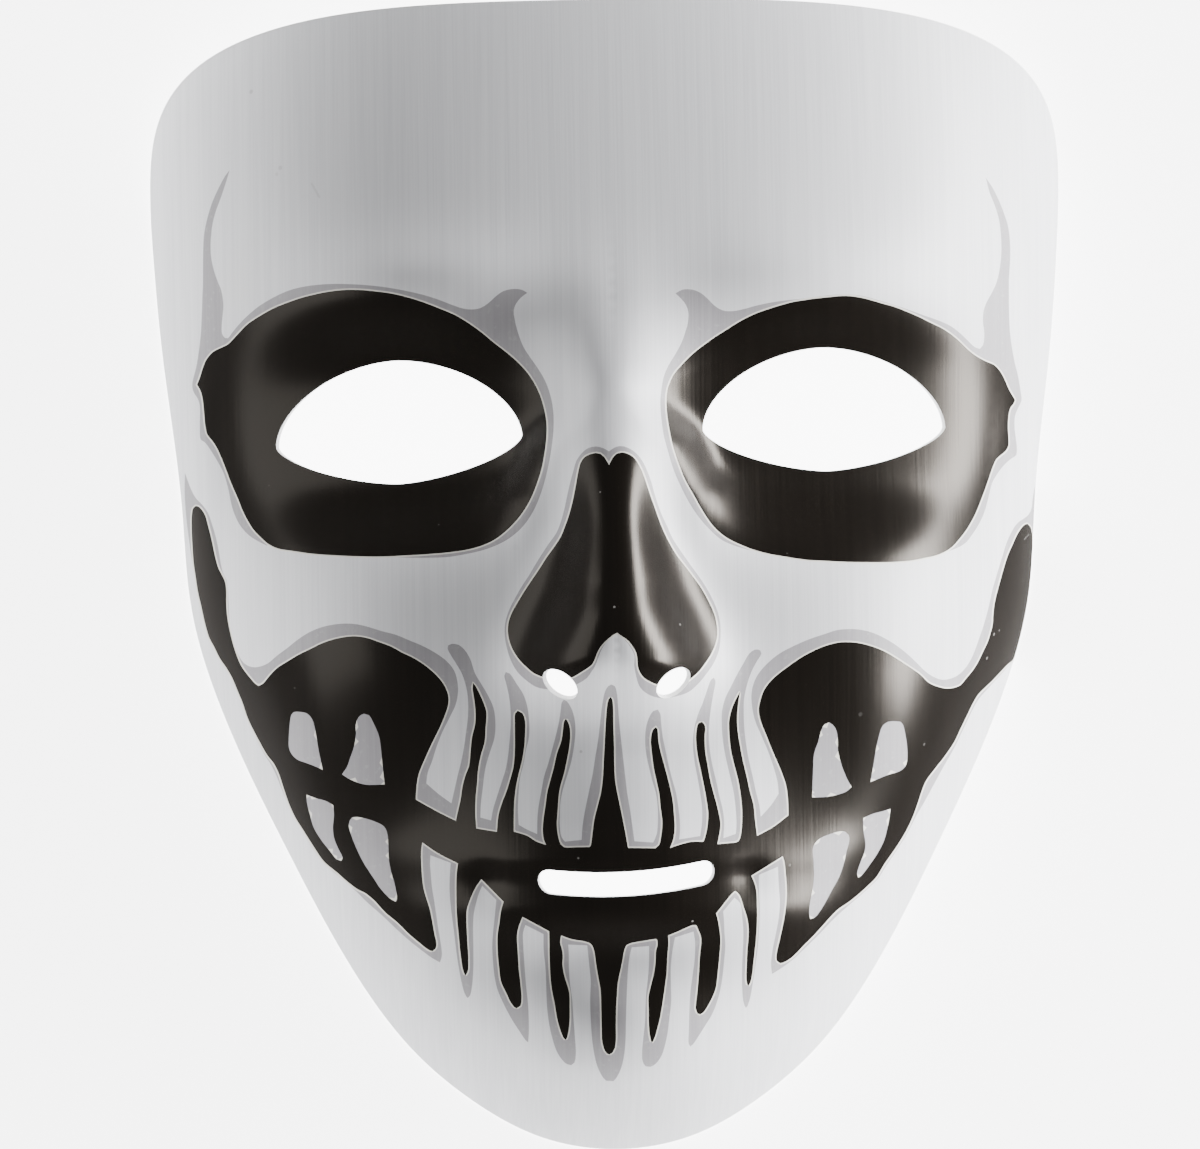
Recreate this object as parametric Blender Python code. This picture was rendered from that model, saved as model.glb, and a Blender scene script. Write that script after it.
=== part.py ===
"""A full-face mask of thin formed plastic, lying face up on its rim.

The face looks along +Z and its forehead points along +Y. The origin is the middle of the
footprint, on the plane that the rim rests on. Lengths are in metres.
"""

import bpy
import numpy as np
from mathutils import Vector
from mathutils.geometry import delaunay_2d_cdt

# Driving sizes of the sheet and its outline
MASK_WIDTH = 0.181
MASK_HEIGHT = 0.225
DOME_DEPTH = 0.060
SHEET_THICKNESS = 0.001

# Driving sizes of the openings
EYE_WIDTH = 0.0480
EYE_HEIGHT = 0.0238
EYE_SPACING = 0.0828
EYE_LEVEL = 0.0316
NOSTRIL_LENGTH = 0.0076
NOSTRIL_WIDTH = 0.0044
NOSTRIL_SPACING = 0.0216
NOSTRIL_LEVEL = -0.0205
MOUTH_WIDTH = 0.0340
MOUTH_HEIGHT = 0.0047
MOUTH_LEVEL = -0.0580
MOUTH_SMILE = 0.0016

# Driving sizes of the raised features
NOSE_WIDTH = 0.0270
NOSE_RISE = 0.0215
BROW_RISE = 0.0035
SOCKET_SINK = 0.0080
CHEEK_RISE = 0.0040
LIP_RISE = 0.0030
CHIN_RISE = 0.0060

# Mesh spacings, as lengths over the plan
RIM_SPACING = 0.0044
OPENING_SPACING = 0.0026
SKIN_SPACING = 0.0049
NOSE_SPACING = 0.0031

HALF_WIDTH = MASK_WIDTH / 2
HALF_HEIGHT = MASK_HEIGHT / 2

# Rings of points up the steep wall, as shares of the way from the dome's middle to the rim
WALL_SHARES = (0.987, 0.962, 0.922)

# The rim from the chin to where the top corner starts: height as a share of HALF_HEIGHT and
# half width as a share of HALF_WIDTH
RIM_ROWS = (
    (-1.000, 0.000),
    (-0.975, 0.174),
    (-0.914, 0.312),
    (-0.825, 0.442),
    (-0.692, 0.566),
    (-0.471, 0.714),
    (-0.206, 0.863),
    (-0.029, 0.925),
    (0.148, 0.943),
    (0.414, 0.981),
    (0.600, 1.000),
)

# How the dome would close above the cut top, in the same shares
CLOSING_ROWS = (
    (0.850, 0.997),
    (1.060, 0.915),
    (1.250, 0.745),
    (1.400, 0.430),
    (1.460, 0.000),
)

# From this share of HALF_HEIGHT up, the top corner is cut as a superellipse
CORNER_START = 0.660
CORNER_SQUARENESS = 3.55

# The dome's middle, its roundness sideways and toward the chin, and how much of its vertical
# foot is cut away at the rim
DOME_MIDDLE = 0.190
SIDE_ROUNDNESS = 2.6
CHIN_ROUNDNESS = 4.4
FOOT_CUT = 0.9965

# The eye openings: height of the corner line as a share of half the eye's height, and the
# superellipse powers of the upper and lower edges
EYE_CORNER_SHARE = -0.30
EYE_UPPER_POWER = 1.80
EYE_LOWER_POWER = 1.55

# Turns in degrees, counter-clockwise, and mirrored on the left for the nostrils
NOSTRIL_TURN = 38.0
MOUTH_TURN = 1.5

# The cutter of the eyes and the mouth sits slightly crooked, turned about the eyes' middle
CUT_TURN = 1.0

# The nose from the brow to the lip: height as a share of HALF_HEIGHT, width as a share of
# NOSE_WIDTH and rise as a share of NOSE_RISE
NOSE_ROWS = (
    (0.480, 0.66, 0.00),
    (0.360, 0.56, 0.12),
    (0.230, 0.54, 0.24),
    (0.100, 0.60, 0.42),
    (-0.010, 0.70, 0.63),
    (-0.090, 0.80, 0.78),
    (-0.150, 0.87, 0.74),
    (-0.205, 0.93, 0.45),
    (-0.255, 0.96, 0.13),
    (-0.310, 1.00, 0.00),
)

# Mounds and hollows: distance from the middle line and reach across as shares of HALF_WIDTH,
# height and reach up as shares of HALF_HEIGHT, then the rise as a share of the named rise
BROW = (("brow", 0.42, 0.50, 0.30, 0.090, 1.00), ("glabella", 0.00, 0.46, 0.13, 0.110, 0.70))
CHEEK = (
    ("cheekbone", 0.54, -0.06, 0.30, 0.170, 0.80),
    ("cheek_hollow", 0.42, -0.40, 0.20, 0.170, -0.75),
    ("muzzle", 0.00, -0.42, 0.29, 0.190, 0.80),
)
NOSE_FOOT = (("nose_foot", 0.00, 0.07, 0.26, 0.27, 0.27),)
CHIN = (("chin", 0.00, -0.81, 0.24, 0.150, 1.00), ("lip_groove", 0.00, -0.665, 0.22, 0.060, -0.55))


def closed_spline(points, count):
    """Sample the smooth closed cubic through the points, spaced by chord length."""
    points = np.array(points, dtype=float)
    size = len(points)
    ahead = np.roll(points, -1, axis=0)
    step = np.linalg.norm(ahead - points, axis=1)
    slope = (ahead - points) / step[:, None]
    matrix = np.zeros((size, size))
    right = np.zeros((size, 2))
    for row in range(size):
        before = row - 1
        after = (row + 1) % size
        matrix[row, before] += step[row]
        matrix[row, row] += 2 * (step[before] + step[row])
        matrix[row, after] += step[before]
        right[row] = 3 * (step[row] * slope[before] + step[before] * slope[row])
    tangent = np.linalg.solve(matrix, right)
    share = np.linspace(0, 1, count, endpoint=False)[:, None]
    pieces = []
    for row in range(size):
        after = (row + 1) % size
        pieces.append(
            points[row] * (1 + 2 * share) * (1 - share) ** 2
            + tangent[row] * step[row] * share * (1 - share) ** 2
            + points[after] * share**2 * (3 - 2 * share)
            + tangent[after] * step[row] * share**2 * (share - 1)
        )
    return np.concatenate(pieces)


def dome_outline():
    """The dome's whole footprint, from the chin counter-clockwise."""
    rows = RIM_ROWS + CLOSING_ROWS
    right_side = [(wide * HALF_WIDTH, high * HALF_HEIGHT) for high, wide in rows]
    left_side = [(-x, y) for x, y in reversed(right_side[1:-1])]
    return closed_spline(right_side + left_side, 48)


DOME_OUTLINE = dome_outline()
MIDDLE = np.array((0.0, DOME_MIDDLE * HALF_HEIGHT))


def outline_reach(angle):
    """Distance from the dome's middle to its footprint in a direction."""
    spoke = DOME_OUTLINE - MIDDLE
    spoke_angle = np.arctan2(spoke[:, 1], spoke[:, 0])
    order = np.argsort(spoke_angle)
    length = np.hypot(spoke[:, 0], spoke[:, 1])
    return np.interp(angle, spoke_angle[order], length[order], period=2 * np.pi)


def gauge(x, y):
    """How far out a point lies: 0 at the dome's middle, 1 on its footprint."""
    away = np.hypot(x, y - MIDDLE[1])
    angle = np.arctan2(y - MIDDLE[1], x)
    return away / outline_reach(angle), angle


def dome(x, y):
    """Height of the plain dome, flat on the floor plane along its very foot."""
    out, angle = gauge(x, y)
    toward_chin = np.clip(-np.sin(angle), 0, 1) ** 2
    power = SIDE_ROUNDNESS + (CHIN_ROUNDNESS - SIDE_ROUNDNESS) * toward_chin
    foot = np.sqrt(1 - FOOT_CUT**power)
    arch = np.sqrt(np.clip(1 - (np.clip(out, 0, 1) * FOOT_CUT) ** power, 0, 1))
    return np.where(out > 0.999, 0, DOME_DEPTH * (arch - foot) / (1 - foot))


def smooth_step(value):
    """Rise from 0 to 1 with level ends."""
    value = np.clip(value, 0, 1)
    return value * value * (3 - 2 * value)


def mounds(rows, rise, x, y):
    """Sum of the soft mounds in a table."""
    total = np.zeros_like(x)
    for _, across, up, reach_across, reach_up, share in rows:
        wide = (np.abs(x) / HALF_WIDTH - across) / reach_across
        high = (y / HALF_HEIGHT - up) / reach_up
        total += rise * share * np.exp(-(wide**2) - high**2)
    return total


def nose(x, y):
    """The ridge of the nose, from between the brows to the lip."""
    level, width, rise = (np.array(column)[::-1] for column in zip(*NOSE_ROWS))
    high = y / HALF_HEIGHT
    half = hermite(high, level, width) * NOSE_WIDTH / 2
    crest = hermite(high, level, rise) * NOSE_RISE
    return crest * np.exp(-np.abs(x / half) ** 2.6)


def hermite(at, knots, values):
    """Smooth curve through the rows of a table, level beyond its ends."""
    slope = np.gradient(values, knots)
    slope[0] = slope[-1] = 0
    place = np.clip(np.searchsorted(knots, at) - 1, 0, len(knots) - 2)
    step = knots[place + 1] - knots[place]
    share = np.clip((at - knots[place]) / step, 0, 1)
    return (
        values[place] * (1 + 2 * share) * (1 - share) ** 2
        + slope[place] * step * share * (1 - share) ** 2
        + values[place + 1] * share**2 * (3 - 2 * share)
        + slope[place + 1] * step * share**2 * (share - 1)
    )


def wings(x, y):
    """The sides of the nostrils."""
    wide = (np.abs(x) - NOSTRIL_SPACING / 2 - 0.05 * NOSE_WIDTH) / (0.28 * NOSE_WIDTH)
    high = (y - NOSTRIL_LEVEL - 0.13 * NOSE_WIDTH) / (0.27 * NOSE_WIDTH)
    return 0.30 * NOSE_RISE * np.exp(-(wide**2) - high**2)


def sockets(x, y):
    """The hollows round the eyes."""
    wide = (np.abs(x) - EYE_SPACING / 2) / (0.57 * EYE_WIDTH)
    high = (y - EYE_LEVEL + 0.10 * EYE_HEIGHT) / (0.90 * EYE_HEIGHT)
    return -SOCKET_SINK * np.exp(-((wide**2 + high**2) ** 1.6))


def lips(x, y):
    """The ridges above and below the mouth, and the dimples at its corners."""
    wide = x / (0.68 * MOUTH_WIDTH)
    upper = (y - MOUTH_LEVEL - 0.14 * MOUTH_WIDTH) / (0.13 * MOUTH_WIDTH)
    lower = (y - MOUTH_LEVEL + 0.17 * MOUTH_WIDTH) / (0.16 * MOUTH_WIDTH)
    ridges = np.exp(-(wide**4)) * (np.exp(-(upper**2)) + 1.1 * np.exp(-(lower**2)))
    corner_x = (np.abs(x) - 0.75 * MOUTH_WIDTH) / (0.10 * MOUTH_WIDTH)
    corner_y = (y - MOUTH_LEVEL) / (0.11 * MOUTH_WIDTH)
    return LIP_RISE * (ridges - 0.5 * np.exp(-(corner_x**2) - corner_y**2))


def height(x, y):
    """Height of the outer skin."""
    out, _ = gauge(x, y)
    fade = smooth_step((1 - out) / 0.14)
    relief = nose(x, y) + wings(x, y) + sockets(x, y) + lips(x, y)
    relief += mounds(NOSE_FOOT, NOSE_RISE, x, y)
    relief += mounds(BROW, BROW_RISE, x, y)
    relief += mounds(CHEEK, CHEEK_RISE, x, y)
    relief += mounds(CHIN, CHIN_RISE, x, y)
    return dome(x, y) + fade * relief


def rim_outline():
    """The mask's own edge in plan: the footprint, with the top corners cut round."""
    start = CORNER_START * HALF_HEIGHT
    footprint = DOME_OUTLINE[DOME_OUTLINE[:, 0] >= 0]
    side = footprint[footprint[:, 1] < start]
    wide = np.interp(start, footprint[:, 1], footprint[:, 0])
    tall = HALF_HEIGHT - start
    turn = np.linspace(0, np.pi / 2, 60)
    corner = np.stack(
        (
            wide * np.cos(turn) ** (2 / CORNER_SQUARENESS),
            start + tall * np.sin(turn) ** (2 / CORNER_SQUARENESS),
        ),
        axis=1,
    )
    corner[-1] = (0, HALF_HEIGHT)
    right_side = np.concatenate((side, corner))
    left_side = right_side[1:-1][::-1] * (-1, 1)
    return np.concatenate((right_side, left_side))


def even_loop(points, spacing):
    """Space the points of a closed loop evenly, keeping its first one."""
    closed = np.concatenate((points, points[:1]))
    along = np.concatenate(((0,), np.cumsum(np.linalg.norm(np.diff(closed, axis=0), axis=1))))
    count = 2 * round(along[-1] / spacing / 2)
    at = np.linspace(0, along[-1], count, endpoint=False)
    return np.stack((np.interp(at, along, closed[:, 0]), np.interp(at, along, closed[:, 1])), axis=1)


def turned(points, degrees, middle):
    """Turn points about the origin and move them to a middle."""
    angle = np.radians(degrees)
    matrix = np.array(((np.cos(angle), np.sin(angle)), (-np.sin(angle), np.cos(angle))))
    return points @ matrix + middle


def eye_loop(side):
    """The edge of one eye opening: two superellipse arches on one corner line."""
    turn = np.linspace(0, 2 * np.pi, 240, endpoint=False)
    power = np.where(np.sin(turn) >= 0, EYE_UPPER_POWER, EYE_LOWER_POWER)
    tall = np.where(np.sin(turn) >= 0, 1 - EYE_CORNER_SHARE, 1 + EYE_CORNER_SHARE)
    x = EYE_WIDTH / 2 * np.sign(np.cos(turn)) * np.abs(np.cos(turn)) ** (2 / power)
    y = np.sign(np.sin(turn)) * tall * np.abs(np.sin(turn)) ** (2 / power) + EYE_CORNER_SHARE
    points = np.stack((x + side * EYE_SPACING / 2, y * EYE_HEIGHT / 2), axis=1)
    return turned(points, CUT_TURN, (0, EYE_LEVEL))


def nostril_loop(side):
    """The edge of one nostril: an ellipse leaning out at the top."""
    turn = np.linspace(0, 2 * np.pi, 120, endpoint=False)
    points = np.stack((NOSTRIL_LENGTH / 2 * np.cos(turn), NOSTRIL_WIDTH / 2 * np.sin(turn)), axis=1)
    return turned(points, side * NOSTRIL_TURN, (side * NOSTRIL_SPACING / 2, NOSTRIL_LEVEL))


def mouth_loop():
    """The edge of the mouth: a slot with round ends, bent to a slight smile."""
    radius = MOUTH_HEIGHT / 2
    straight = MOUTH_WIDTH / 2 - radius
    turn = np.linspace(-np.pi / 2, np.pi / 2, 24)
    run = np.linspace(straight, -straight, 40)[1:-1]
    right_end = np.stack((straight + radius * np.cos(turn), radius * np.sin(turn)), axis=1)
    upper = np.stack((run, np.full_like(run, radius)), axis=1)
    points = np.concatenate((right_end, upper, -right_end, -upper))
    points[:, 1] += MOUTH_SMILE * ((points[:, 0] / (MOUTH_WIDTH / 2)) ** 2 - 0.5)
    below_eyes = turned(points, MOUTH_TURN, (0, MOUTH_LEVEL - EYE_LEVEL))
    return turned(below_eyes, CUT_TURN, (0, EYE_LEVEL))


def opening_loops():
    """The edges of all the openings."""
    loops = [eye_loop(-1), eye_loop(1), nostril_loop(-1), nostril_loop(1), mouth_loop()]
    return [even_loop(loop, OPENING_SPACING) for loop in loops]


def inside(points, loop):
    """Which points a closed loop encloses."""
    x, y = points[:, 0, None], points[:, 1, None]
    ahead = np.roll(loop, -1, axis=0)
    rise = ahead[:, 1] - loop[:, 1]
    rise = np.where(rise == 0, 1e-12, rise)
    crossing = loop[:, 0] + (y - loop[:, 1]) / rise * (ahead[:, 0] - loop[:, 0])
    spans = (loop[:, 1] > y) != (ahead[:, 1] > y)
    return np.count_nonzero(spans & (x < crossing), axis=1) % 2 == 1


def near(points, loop, distance):
    """Which points lie close to a loop's own points."""
    apart = np.linalg.norm(points[:, None] - loop[None], axis=2)
    return apart.min(axis=1) < distance


def spread(spacing, row_pitch, stagger):
    """Rows of points over the whole plan, mirrored about the middle line."""
    points = []
    for number, y in enumerate(np.arange(-HALF_HEIGHT, HALF_HEIGHT, row_pitch)):
        run = np.arange((number % 2) * stagger, HALF_WIDTH, spacing)
        points += [(x, y) for x in run] + [(-x, y) for x in run if x > 0]
    return np.array(points)


def on_nose(points):
    """Which points lie on the nose, where the grid is finer and follows its ridge."""
    high = points[:, 1] / HALF_HEIGHT
    wide = np.abs(points[:, 0]) < 0.62 * NOSE_WIDTH
    return wide & (high < NOSE_ROWS[0][0]) & (high > NOSE_ROWS[-1][0])


def skin_grid(rim, openings):
    """Evenly spread points between the wall rings and the openings."""
    coarse = spread(SKIN_SPACING, SKIN_SPACING * np.sqrt(3) / 2, SKIN_SPACING / 2)
    fine = spread(NOSE_SPACING, NOSE_SPACING, 0)
    points = np.concatenate((coarse[~on_nose(coarse)], fine[on_nose(fine)]))
    field = MIDDLE + (rim - MIDDLE) * (WALL_SHARES[-1] - 0.4 * SKIN_SPACING / HALF_WIDTH)
    keep = inside(points, field)
    for loop in openings:
        keep &= ~inside(points, loop) & ~near(points, loop, 0.5 * NOSE_SPACING)
    return points[keep]


def plan_mesh():
    """Points and triangles of the sheet in plan, with the openings left out."""
    rim = even_loop(rim_outline(), RIM_SPACING)
    openings = opening_loops()
    rings = [MIDDLE + (rim - MIDDLE) * share for share in WALL_SHARES]
    corners = np.concatenate([rim] + openings + rings + [skin_grid(rim, openings)])
    edges = []
    first = 0
    for loop in [rim] + openings:
        size = len(loop)
        edges += [(first + place, first + (place + 1) % size) for place in range(size)]
        first += size
    found = delaunay_2d_cdt([Vector(corner) for corner in corners], edges, [], 1, 1e-8, False)
    points = np.array([tuple(corner) for corner in found[0]])
    triangles = np.array(found[2])
    centres = points[triangles].mean(axis=1)
    keep = inside(centres, rim)
    for loop in openings:
        keep &= ~inside(centres, loop)
    return points, triangles[keep]


def skin_normals(points):
    """Outward directions of the outer skin, read just inside each point."""
    step = 0.1 * SHEET_THICKNESS
    x, y = (MIDDLE + (points - MIDDLE) * 0.997).T
    lean_x = (height(x + step, y) - height(x - step, y)) / (2 * step)
    lean_y = (height(x, y + step) - height(x, y - step)) / (2 * step)
    normal = np.stack((-lean_x, -lean_y, np.ones_like(x)), axis=1)
    return normal / np.linalg.norm(normal, axis=1)[:, None]


def mask_mesh():
    """The closed sheet: outer skin, inner skin and the cut edges between them."""
    points, triangles = plan_mesh()
    outer = np.column_stack((points, height(points[:, 0], points[:, 1])))
    inner = outer - skin_normals(points) * SHEET_THICKNESS
    inner[:, 2] = np.maximum(inner[:, 2], 0)
    size = len(outer)
    faces = [tuple(triangle) for triangle in triangles.tolist()]
    edges = {(face[place], face[(place + 1) % 3]) for face in faces for place in range(3)}
    backs = [(a + size, c + size, b + size) for a, b, c in faces]
    walls = [(b, a, a + size, b + size) for a, b in sorted(edges) if (b, a) not in edges]
    mesh = bpy.data.meshes.new("mask_shell")
    mesh.from_pydata(np.concatenate((outer, inner)).tolist(), [], faces + backs + walls)
    mesh.shade_smooth()
    mesh.set_sharp_from_angle(angle=np.radians(50))
    return mesh


def plastic():
    """White semi-gloss plastic."""
    material = bpy.data.materials.new("white_plastic")
    material.use_nodes = True
    shader = material.node_tree.nodes["Principled BSDF"]
    shader.inputs["Base Color"].default_value = (0.80, 0.80, 0.82, 1)
    shader.inputs["Roughness"].default_value = 0.35
    shader.inputs["Metallic"].default_value = 0.0
    return material


def build():
    """Clear the scene and add the mask."""
    for item in list(bpy.data.objects):
        bpy.data.objects.remove(item)
    shell = bpy.data.objects.new("mask_shell", mask_mesh())
    shell.data.materials.append(plastic())
    bpy.context.scene.collection.objects.link(shell)


build()
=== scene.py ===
"""A printed skull mask of thin formed plastic, lying face up on its rim.

Positions are metres in the part's own frame: +Z the way the face looks, +Y from the chin to the
forehead. The print's outlines are millimetres on plan, read off the printed face.
"""

import bpy
import numpy as np
from mathutils import Matrix, Vector
from mathutils.geometry import delaunay_2d_cdt
from mathutils.kdtree import KDTree


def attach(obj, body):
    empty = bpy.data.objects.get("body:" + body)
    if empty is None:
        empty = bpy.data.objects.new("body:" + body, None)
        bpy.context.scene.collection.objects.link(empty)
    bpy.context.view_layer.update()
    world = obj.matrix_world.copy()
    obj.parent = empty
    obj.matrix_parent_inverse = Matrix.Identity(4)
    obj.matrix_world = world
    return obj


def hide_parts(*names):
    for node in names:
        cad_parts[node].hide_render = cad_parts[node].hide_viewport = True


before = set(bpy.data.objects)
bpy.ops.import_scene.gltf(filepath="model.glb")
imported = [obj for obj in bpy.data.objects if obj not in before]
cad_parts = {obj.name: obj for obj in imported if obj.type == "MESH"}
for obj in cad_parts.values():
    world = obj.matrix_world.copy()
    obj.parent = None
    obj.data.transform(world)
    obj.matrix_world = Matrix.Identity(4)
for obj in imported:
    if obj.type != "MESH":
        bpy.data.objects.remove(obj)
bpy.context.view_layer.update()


# Grey print
# The first colour, screened on the flat white sheet: flat grey shadows round the eye sockets, the
# nose and the teeth, and small teeth far back in the cheeks, a little duller than the plastic.

# Each outline is a closed loop of (x, y), and a third value of 1 marks a sharp corner
GREY_LEFT_SOCKET = (
    (-73.7, 81.2, 1), (-74.6, 80.2), (-75.4, 78.9), (-76.4, 77.1), (-77.4, 75.0), (-78.2, 72.7),
    (-78.7, 70.9), (-79.1, 68.8), (-79.3, 65.7), (-79.4, 62.3), (-79.45, 59.7), (-79.6, 57.1),
    (-79.8, 53.7), (-80.0, 50.6), (-80.4, 47.5), (-81.2, 43.5), (-82.1, 40.5), (-82.0, 39.0),
    (-81.0, 37.3), (-80.65, 36.0), (-80.75, 32.0), (-80.6, 29.3), (-79.8, 28.8), (-78.5, 27.0),
    (-77.0, 24.5), (-76.0, 22.5), (-75.1, 19.5), (-74.25, 15.5), (-72.9, 12.3), (-71.0, 10.0),
    (-68.8, 8.5), (-67.3, 7.7, 1), (-62.0, 10.0, 1), (-46.0, 8.0, 1), (-42.0, 4.6, 1), (-39.5, 4.45),
    (-36.0, 4.35), (-32.0, 4.4), (-28.5, 4.9), (-25.5, 5.5), (-22.5, 6.5), (-20.0, 7.8),
    (-17.5, 9.9), (-15.5, 12.7), (-14.0, 16.0), (-12.9, 19.5), (-12.1, 23.0), (-11.6, 26.0),
    (-11.3, 29.0), (-11.3, 32.0), (-11.75, 35.0), (-12.75, 38.0), (-14.0, 40.25), (-15.5, 42.5),
    (-16.9, 44.75), (-17.9, 47.5), (-18.4, 49.5), (-18.65, 51.5), (-18.25, 52.75), (-17.25, 54.0),
    (-16.0, 54.9, 1), (-17.0, 55.5), (-18.5, 55.7), (-20.5, 55.35), (-22.0, 54.4), (-23.5, 53.1),
    (-25.0, 52.2), (-26.75, 51.95), (-28.5, 52.2), (-30.5, 52.9), (-33.0, 53.9), (-36.0, 54.9),
    (-40.0, 55.9), (-43.5, 56.6), (-47.0, 57.1), (-50.0, 57.4), (-53.0, 57.6), (-56.0, 57.6),
    (-59.0, 57.4), (-62.0, 56.85), (-65.0, 55.75), (-68.0, 54.25), (-70.5, 52.5), (-72.5, 50.7),
    (-73.8, 49.3), (-74.5, 48.5), (-75.1, 48.6), (-75.7, 49.5), (-75.7, 51.1), (-75.5, 52.9),
    (-75.3, 54.7), (-75.4, 56.3), (-75.7, 57.9), (-76.4, 59.7), (-77.1, 61.8), (-77.6, 64.1),
    (-77.75, 66.45), (-77.6, 68.8), (-77.3, 70.9), (-76.65, 73.2), (-75.7, 75.55), (-74.8, 77.9),
)
GREY_RIGHT_SOCKET = (
    (74.05, 77.9, 1), (75.4, 76.1), (76.7, 73.7), (77.7, 71.4), (78.6, 68.8), (79.0, 65.7),
    (79.0, 62.3), (78.7, 58.4), (78.65, 54.5), (78.7, 51.0), (78.85, 48.5), (79.25, 45.5),
    (79.9, 42.5), (80.75, 39.5), (81.25, 37.0), (81.5, 35.0), (80.75, 33.5), (80.1, 32.0),
    (79.95, 30.0), (80.25, 27.5), (80.5, 25.5), (80.3, 24.2), (79.25, 23.5), (77.75, 22.25),
    (76.25, 20.5), (75.0, 18.5), (74.1, 15.5), (73.1, 12.5), (71.75, 10.0), (70.5, 8.25),
    (69.0, 6.5), (67.5, 5.6), (65.5, 4.8, 1), (60.0, 8.0, 1), (30.0, 8.0, 1), (26.0, 4.9, 1),
    (22.5, 6.0), (20.5, 7.0), (18.5, 8.75), (16.5, 11.0), (14.5, 14.0), (12.75, 17.5),
    (11.5, 20.5), (10.5, 24.0), (9.75, 27.0), (9.4, 30.0), (9.25, 33.5), (9.5, 36.0),
    (10.0, 38.5), (11.0, 40.75), (12.25, 42.75), (13.5, 45.0), (14.25, 47.0), (14.75, 48.75),
    (14.9, 50.75), (14.4, 52.25), (13.5, 53.4), (12.45, 54.4, 1), (13.75, 55.1), (15.5, 55.15),
    (17.25, 54.5), (18.75, 53.25), (20.0, 52.0), (21.5, 51.15), (23.5, 51.0), (25.5, 51.35),
    (28.0, 52.0), (31.0, 52.6), (34.0, 53.0), (37.5, 53.35), (40.0, 53.7), (44.5, 54.15),
    (48.0, 54.0), (52.5, 53.0), (57.5, 51.6), (61.0, 50.5), (64.0, 49.6), (66.5, 48.6),
    (68.5, 47.25), (70.25, 45.75), (71.5, 44.75), (72.5, 44.5), (73.15, 45.25), (73.4, 47.5),
    (73.1, 49.8), (73.25, 51.9), (73.8, 53.4), (74.8, 55.1), (75.9, 57.3), (76.65, 59.95),
    (77.1, 63.6), (77.05, 66.7), (76.7, 69.8), (75.9, 72.4), (74.8, 75.0),
)
GREY_NOSE = (
    (-0.85, 23.85, 1), (-1.96, 24.5), (-3.3, 24.85), (-4.8, 24.6), (-6.0, 23.7), (-7.1, 22.2),
    (-7.6, 20.6), (-8.3, 18.2), (-8.95, 15.5), (-9.5, 13.1), (-10.2, 10.65), (-11.1, 8.5),
    (-12.5, 6.6), (-13.8, 4.7), (-15.15, 2.6), (-16.5, 0.4), (-17.8, -1.5), (-19.2, -3.9),
    (-20.3, -6.0), (-21.1, -8.5), (-21.2, -10.9), (-20.9, -13.0), (-20.1, -15.7), (-18.9, -17.9),
    (-17.3, -19.5), (-15.4, -20.85), (-13.1, -21.4), (-10.5, -21.4), (-8.1, -20.7), (-7.1, -20.3),
    (-5.7, -19.4), (-4.9, -18.3), (-4.25, -17.35), (-3.7, -16.0), (-3.2, -14.7), (-2.2, -13.0),
    (0.05, -10.8, 1), (2.5, -13.7), (3.3, -15.5), (3.2, -17.1), (3.6, -19.2), (4.1, -20.85),
    (4.9, -21.9), (6.5, -22.9), (8.7, -23.4), (11.1, -23.1), (13.8, -22.2), (15.7, -20.6),
    (17.3, -18.7), (18.65, -16.8), (19.7, -14.4), (20.1, -11.7), (20.1, -9.5), (19.7, -7.1),
    (18.9, -5.0), (17.8, -2.8), (16.5, -0.7), (15.15, 1.2), (13.8, 3.1), (12.5, 5.0),
    (11.1, 7.2), (10.2, 9.3), (9.2, 11.5), (8.4, 13.6), (7.75, 15.8), (7.1, 18.2),
    (6.3, 20.35), (5.5, 22.0), (4.4, 23.4), (2.8, 24.5), (1.3, 24.85), (0.1, 24.5),
)
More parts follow.
